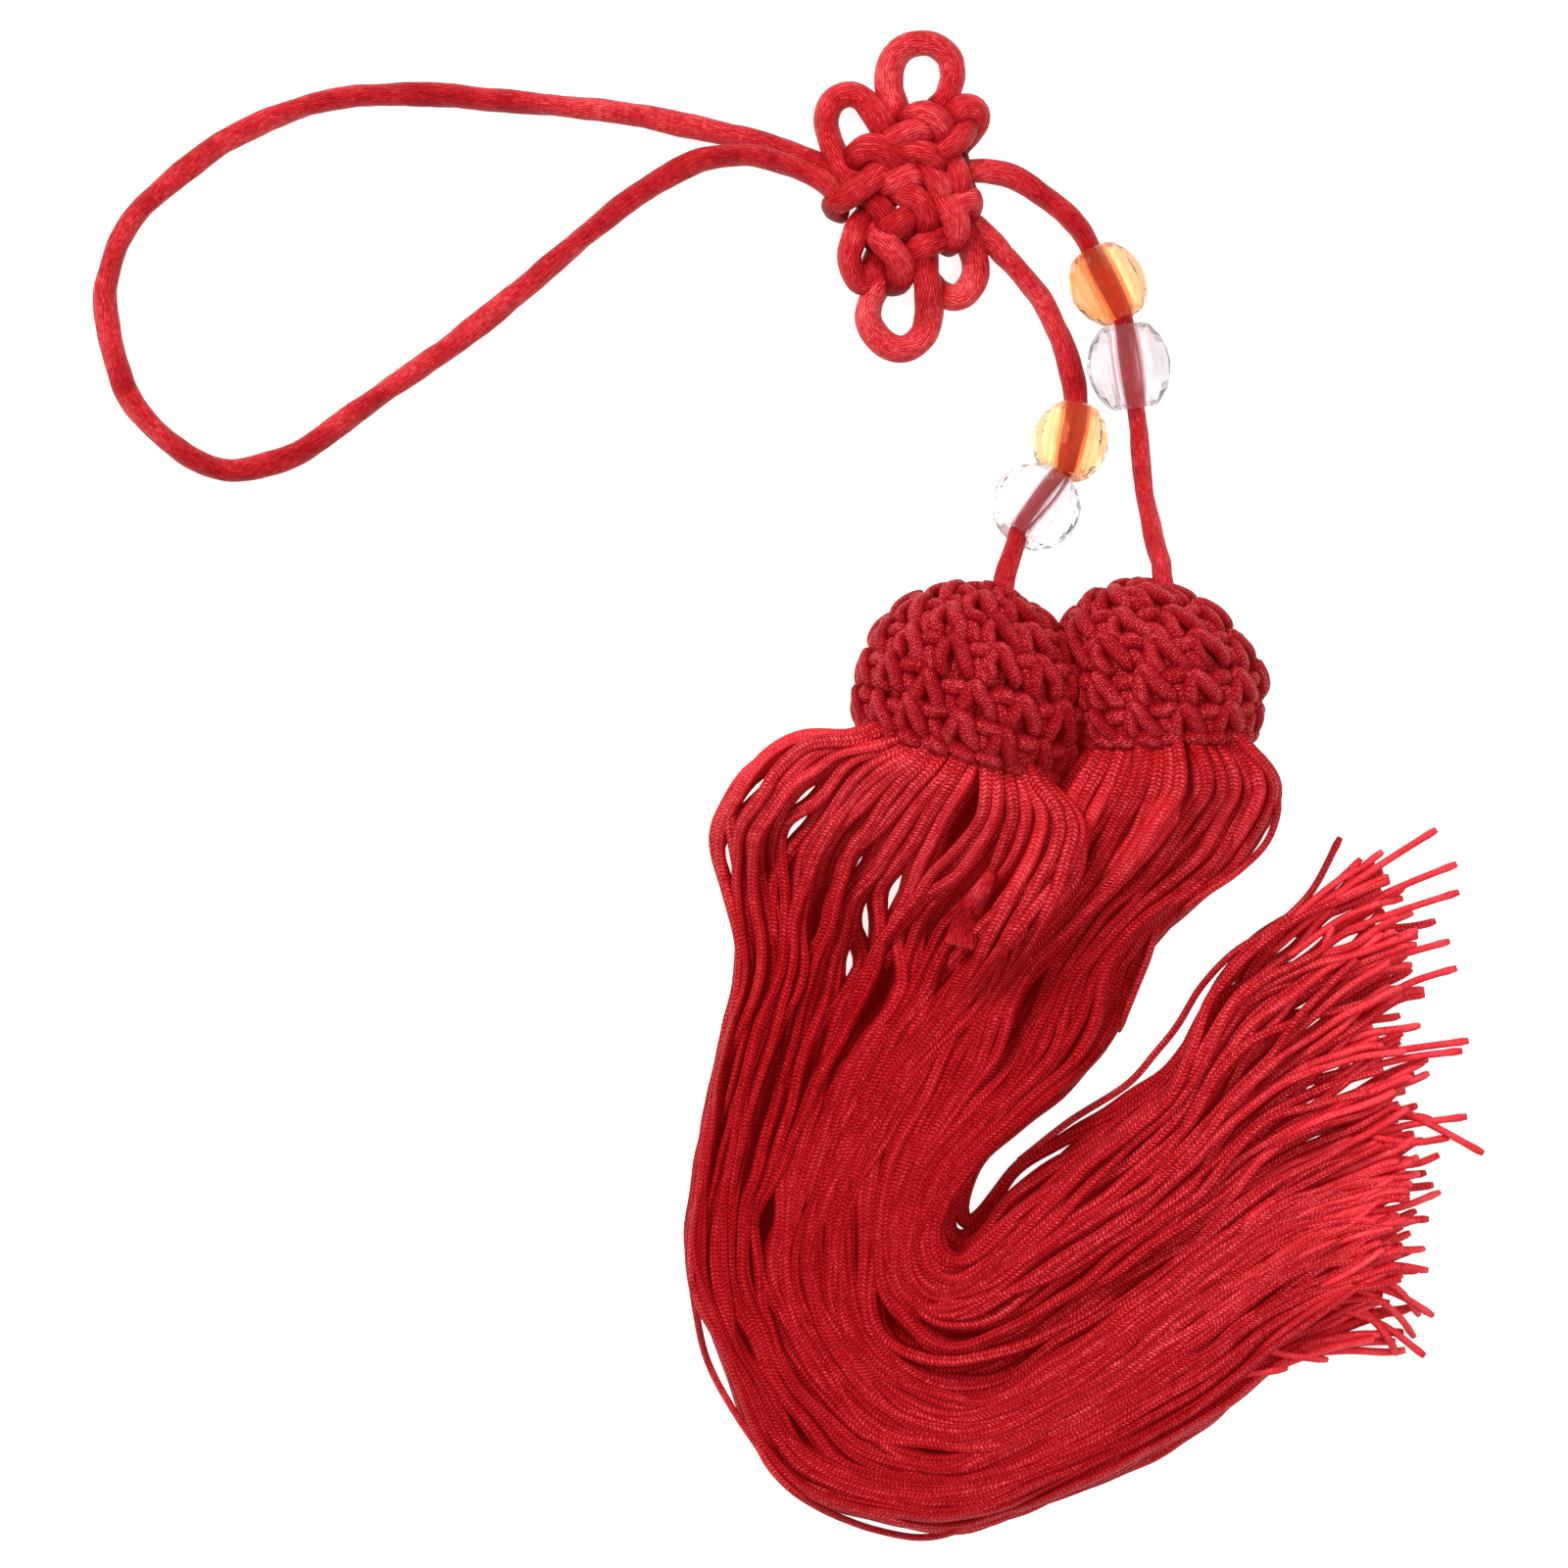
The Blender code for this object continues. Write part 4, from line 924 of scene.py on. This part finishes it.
def strand_flow(skirt, share, level, draw):
    """A strand's place at each section, about a share of the way from edge to edge."""
    left, right = edges_of(skirt)
    sections = np.arange(len(left))
    drift = np.cumsum(draw.normal(0, 0.014, len(sections)))
    drift += draw.uniform(0.015, 0.045) * np.sin(sections * draw.uniform(0.9, 1.9)
                                                 + draw.uniform(0, 6.3))
    shares = np.clip(share + (drift - drift[0]) * np.minimum(1, sections / 3),
                     -draw.uniform(0, 0.02), 1.0 + draw.uniform(0, 0.02))
    shares = (np.clip(shares, 0.0, 1.0) ** np.array(skirt["lean"])
              + np.minimum(shares, 0) + np.maximum(shares - 1, 0))
    shares -= skirt["over"] * share ** 3 * level * INSIDE_TURN
    return left + (right - left) * shares[:, None]


def hang_from_rim(spec, flow, aside, level):
    """A strand's points: from inside its cap's rim, down to the table and along its flow."""
    across, upward, top = head_axes(spec)
    forward = -top
    half_width, half_height, half_length = spec["sizes"]
    rim = np.array(spec["centre"]) * MM + forward * half_length * MM * -math.cos(RIM_ANGLE)
    rim_width = half_width * MM * math.sin(RIM_ANGLE)
    rim_height = half_height * MM * math.sin(RIM_ANGLE)
    rise = (level - 0.5) * 2 * math.sqrt(1 - aside ** 2)
    points = []
    for axial, reach in STRAND_ROOTS:
        points.append(rim + forward * axial * MM + across * aside * reach * rim_width
                      + upward * (rise * (reach - ROOTS_CLOSER) * rim_height))
    root = points[-1]
    bulge = root + 0.30 * (np.array([*flow[0], root[2]]) - root)
    points.append(bulge + forward * 1.0 * MM + upward * (max(0.0, rise) * 1.0 * MM))
    fall_from = points[-1][2]
    reached = points[-1][:2]
    gone = 0.0
    for place in flow:
        gone += np.linalg.norm(place - reached)
        reached = place
        ease = min(1.0, gone / LANDING)
        points.append(np.array([*place, fall_from * (1 - ease * ease * (3 - 2 * ease))]))
    return points


def cut_strand(points, level, draw):
    """A strand's path: its last stretch turned a little aside, and cut off unevenly."""
    turn = min(max(draw.normal(0, END_TURN), -MOST_TURN), MOST_TURN)
    last = points[-1] - points[-2]
    points[-1] = points[-2] + np.array([last[0] * math.cos(turn) - last[1] * math.sin(turn),
                                        last[0] * math.sin(turn) + last[1] * math.cos(turn), 0])
    path = smooth_route(points, STRAND_STEP)
    path = path[:len(path) - int(2 + abs(draw.normal(0, CUT_SCATTER)) + 2 * level)]
    for axis in (0, 1):
        path[2:, axis] = spread(path[:, axis], 3)[2:]
    return path


def weave_aside(path, side, from_root, to_end, draw):
    """Lets a strand weave from side to side and stray at its end."""
    periods = [draw.uniform(low, high) for _, low, high in WEAVES]
    weave = sum(size * np.sin(from_root * math.tau / period + draw.uniform(0, 6.3))
                for (size, _, _), period in zip(WEAVES, periods))
    weave *= np.clip(from_root / 20, 0, 1)
    weave += draw.normal(0, END_STRAY) * np.clip(1 - to_end / END_STRAY_LENGTH, 0, 1) ** 1.5
    path[:, :2] += side[:, :2] * (weave * MM)[:, None]


def give_way(path, level):
    """Moves a strand aside where strands lie apart, and gives the painted shade on it there."""
    dim = np.zeros(len(path))
    for x, y, bearing, half_long, opening, way, lowest, shade in PARTINGS:
        ahead = np.array([math.cos(math.radians(bearing)), math.sin(math.radians(bearing))])
        offset = path[:, :2] / MM - (x, y)
        u, v = offset @ ahead, offset @ (-ahead[1], ahead[0])
        near = np.exp(-(u / half_long) ** 2)
        if level >= lowest:
            towards = way or math.copysign(1.0, v[np.argmin(np.abs(u) + np.abs(v))])
            give = towards * opening * near * np.exp(-(v / (3 * opening)) ** 2) * MM
            path[:, :2] += give[:, None] * (-ahead[1], ahead[0])
        dim += shade * near * np.exp(-(v / 1.6) ** 2) * (1.0 if level < lowest else 0.4)
    return dim


def lay_on_heap(path, side):
    """Lifts a strand onto those below it and adds it to the heap."""
    cells, below = heap_under(path, side)
    rest = spread(spread(below, 1, "max"), 3) + STRAND_HALF_HEIGHT
    hanging = path[:, 2] > 1.0 * MM
    path[:, 2] = spread(np.maximum(rest, path[:, 2]), 2)
    path[:, 2] = np.maximum(path[:, 2], STRAND_HALF_HEIGHT)
    top = path[:, 2] + STRAND_HALF_HEIGHT * SETTLING
    top = np.where(hanging, top, np.minimum(top, PILE_LIMIT))
    for line in cells:
        np.maximum.at(heap, (line[:, 0], line[:, 1]), top)


for skirt_name, skirt in SKIRTS.items():
    draw = np.random.default_rng(skirt["seed"])
    tubes, tones = [], []
    for layer in range(skirt["layers"]):
        level = layer / (skirt["layers"] - 1)
        for k in draw.permutation(skirt["across"]):
            share = (k + 0.5 + 0.25 * (-1) ** layer + draw.normal(0, 0.15)) / skirt["across"]
            share = min(max(share, 0.01), 0.99)
            flow = strand_flow(skirt, share, level, draw)
            points = hang_from_rim(HEADS[skirt["head"]], flow, (0.5 - share) * 2, level)
            path = cut_strand(points, level, draw)
            side, _ = frames_along(path)
            from_root = np.arange(len(path)) * STRAND_STEP / MM
            to_end = from_root[-1] - from_root
            weave_aside(path, side, from_root, to_end, draw)
            dim = give_way(path, level)
            lay_on_heap(path, side)
            roll = 0.6 * np.sin(from_root / draw.uniform(9, 22) + draw.uniform(0, 6.3))
            roll *= np.abs(np.sin(from_root / draw.uniform(20, 40) + draw.uniform(0, 6.3)))
            thin = np.clip(1 - to_end / THIN_LENGTH, 0, 1)
            width = np.interp(from_root, *STRAND_WIDTHS) - THINNER_END * thin
            width[-1] *= TIP_WIDTH
            tubes.append(tube(path, STRAND_HALF_WIDTH * width, STRAND_HALF_HEIGHT,
                              STRAND_SIDES, roll=roll))
            paler = 0.5 * thin + 0.3 * np.clip(1 - to_end / PALE_LENGTH, 0, 1)
            # Painted shadow of the cap near the root, painted shade by distance, less a painted sheen.
            dim += 0.8 * np.clip(1 - from_root / skirt["shadow"], 0, 1)
            dim += np.interp(from_root, SHADE_PLACES, (-skirt["sheen"], *SHADES))
            tones.append(np.repeat(draw.uniform(0.2, 0.8) + paler - dim, STRAND_SIDES))
    half = len(tubes) // 2
    for part, chosen in (("under", slice(0, half)), ("upper", slice(half, None))):
        piece = yarn_object(f"{skirt_name}_{part}", tubes[chosen], silk, tones[chosen])
        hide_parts(skirt_name)

# ---------------------------------------------------------------------------------------
# The strays: single strands of the same knitted cord that have slipped out of the heap's
# edges, most of them onto the table itself, each a little swollen at its cut end.
STRAY_HALF_WIDTH = 0.47 * MM
# How deep both ends of a stray are sunk in the heap, and over what length the last one is.
STRAY_DEPTH = 2.0 * MM
STRAY_SINKS = 3 * MM
STRAYS = {
    "edge": {"half_height": 0.40 * MM, "tone": 0.75, "emerges": 3.0 * MM, "routes": [
        [(-8.5, -48.2), (-2.0, -43.1), (5.2, -38.5), (9.0, -34.3), (11.8, -30.8),
         (14.7, -26.0), (18.7, -21.7), (22.9, -19.0), (25.9, -16.8), (29.2, -13.2),
         (32.6, -6.8)],
        [(-50.0, -54.4), (-50.4, -61.2), (-49.6, -68.1), (-48.2, -73.9), (-45.2, -79.5),
         (-40.8, -85.9)],
        [(23.8, 0.0), (24.4, -3.1), (22.9, -7.5), (19.2, -11.2), (15.2, -13.9),
         (12.1, -16.2)],
        [(9.6, -17.2), (8.7, -19.5), (7.8, -22.5), (6.6, -25.5), (5.4, -28.5), (4.2, -31.5)],
        [(-42.6, -82.4), (-40.6, -86.6), (-37.6, -89.9), (-34.0, -92.3), (-30.2, -94.1),
         (-26.4, -95.4), (-21.5, -96.2), (-17.5, -95.6), (-14.0, -93.8)],
    ]},
    "ends": {"half_height": 0.36 * MM, "tone": 1.15, "emerges": 9.0 * MM, "routes": [
        [(27.8, -18.1), (33.0, -13.5), (39.0, -9.5), (44.9, -5.8)],
        [(34.0, -16.0), (41.0, -12.8), (47.5, -10.2)],
        [(33.0, -18.8), (40.2, -16.2), (47.8, -13.8)],
        [(34.0, -23.8), (40.2, -21.8), (46.5, -20.1)],
        [(35.2, -28.8), (41.5, -25.4), (47.5, -23.5)],
        [(34.0, -35.0), (41.5, -33.8), (49.0, -32.8)],
        [(32.8, -37.0), (41.0, -35.0), (48.2, -34.1)],
        [(35.0, -39.0), (41.5, -42.2), (46.0, -44.5), (50.9, -47.2)],
        [(32.8, -45.6), (41.5, -43.5), (48.8, -42.5)],
        [(36.5, -45.0), (41.5, -45.8), (46.5, -45.2)],
        [(31.5, -54.5), (39.0, -54.2), (45.2, -52.2)],
        [(33.0, -63.2), (39.5, -65.0), (44.4, -67.9)],
        [(30.2, -66.2), (37.8, -69.0), (43.4, -73.1)],
        [(20.0, -71.5), (25.5, -72.8), (30.8, -73.5)],
        [(17.0, -75.5), (21.5, -75.2), (25.6, -74.5)],
        [(34.0, -66.0), (37.8, -69.6), (39.8, -72.8)],
        [(28.0, -61.5), (34.0, -62.0), (39.5, -64.2), (42.6, -67.8)],
        [(28.0, -63.5), (35.0, -64.6), (39.5, -67.5), (42.0, -70.6)],
        [(22.5, -21.0), (28.0, -15.8), (32.5, -12.2), (36.8, -10.0)],
        [(23.5, -21.8), (29.0, -17.0), (34.0, -13.8), (38.6, -11.8)],
        [(26.0, -22.0), (32.0, -17.6), (36.5, -15.6), (40.5, -14.6)],
    ]},
}


def over_heap(route, step, reach):
    """A path along a route of (x, y) in mm, as high as the heap's highest cells in reach."""
    path = smooth_route([(x * MM, y * MM, 0) for x, y in route], step)
    _, under = heap_under(path, frames_along(path)[0])
    path[:, 2] = spread(spread(under, reach, "max"), 5)
    return path


for where, stray in STRAYS.items():
    tubes = []
    for route in stray["routes"]:
        path = over_heap(route, STRAND_STEP, reach=1)
        gone = np.arange(len(path)) * STRAND_STEP
        sunk = np.maximum(np.clip(1 - gone / stray["emerges"], 0, 1),
                          np.clip(1 - (gone[-1] - gone) / STRAY_SINKS, 0, 1))
        path[:, 2] = np.maximum(path[:, 2] - STRAY_DEPTH * sunk, 0) + stray["half_height"]
        swollen = np.ones(len(path))
        swollen[-2:] = 1.12, 0.86
        tubes.append(tube(path, STRAY_HALF_WIDTH * swollen, stray["half_height"],
                          STRAND_SIDES))
    loose = yarn_object("skirt_strays_" + where, tubes, silk, [stray["tone"]] * len(tubes))

# ---------------------------------------------------------------------------------------
# The satin tail: the cut end of the cord that ties tassel A comes out between two strands,
# lies on them and has been squeezed flat and wide where it was sealed.
TAIL_ROUTE = [(-11.8, -10.6), (-12.8, -12.8), (-14.0, -15.0), (-15.3, -17.8), (-16.1, -20.8)]
# Along the tail: share of its length, half width and half height (mm), tone.
TAIL_SHAPE = [(0.0, 0.8, 0.8, 0.3), (0.3, 1.2, 1.0, 0.85), (0.48, 1.5, 0.9, 0.55),
              (0.62, 1.8, 0.9, 0.15), (0.88, 2.05, 0.75, 0.4), (0.96, 2.1, 0.6, 0.65),
              (1.0, 2.0, 0.4, 0.6)]
# It rises from below the strands' tops to above them over the first three tenths.
TAIL_RISE = ((0, 0.3), (-1.2, 1.3))
TAIL_SIDES = 16
tail = over_heap(TAIL_ROUTE, CORD_STEP, reach=5)
gone = np.linspace(0, 1, len(tail))
tail[:, 2] += np.interp(gone, *TAIL_RISE) * MM
shares, *shape = zip(*TAIL_SHAPE)
half_width, half_height, tone = (np.interp(gone, shares, values) for values in shape)
cut_tail = yarn_object("satin_tail", [tube(tail, half_width * MM, half_height * MM, TAIL_SIDES)],
                       satin, [np.repeat(tone, TAIL_SIDES)])
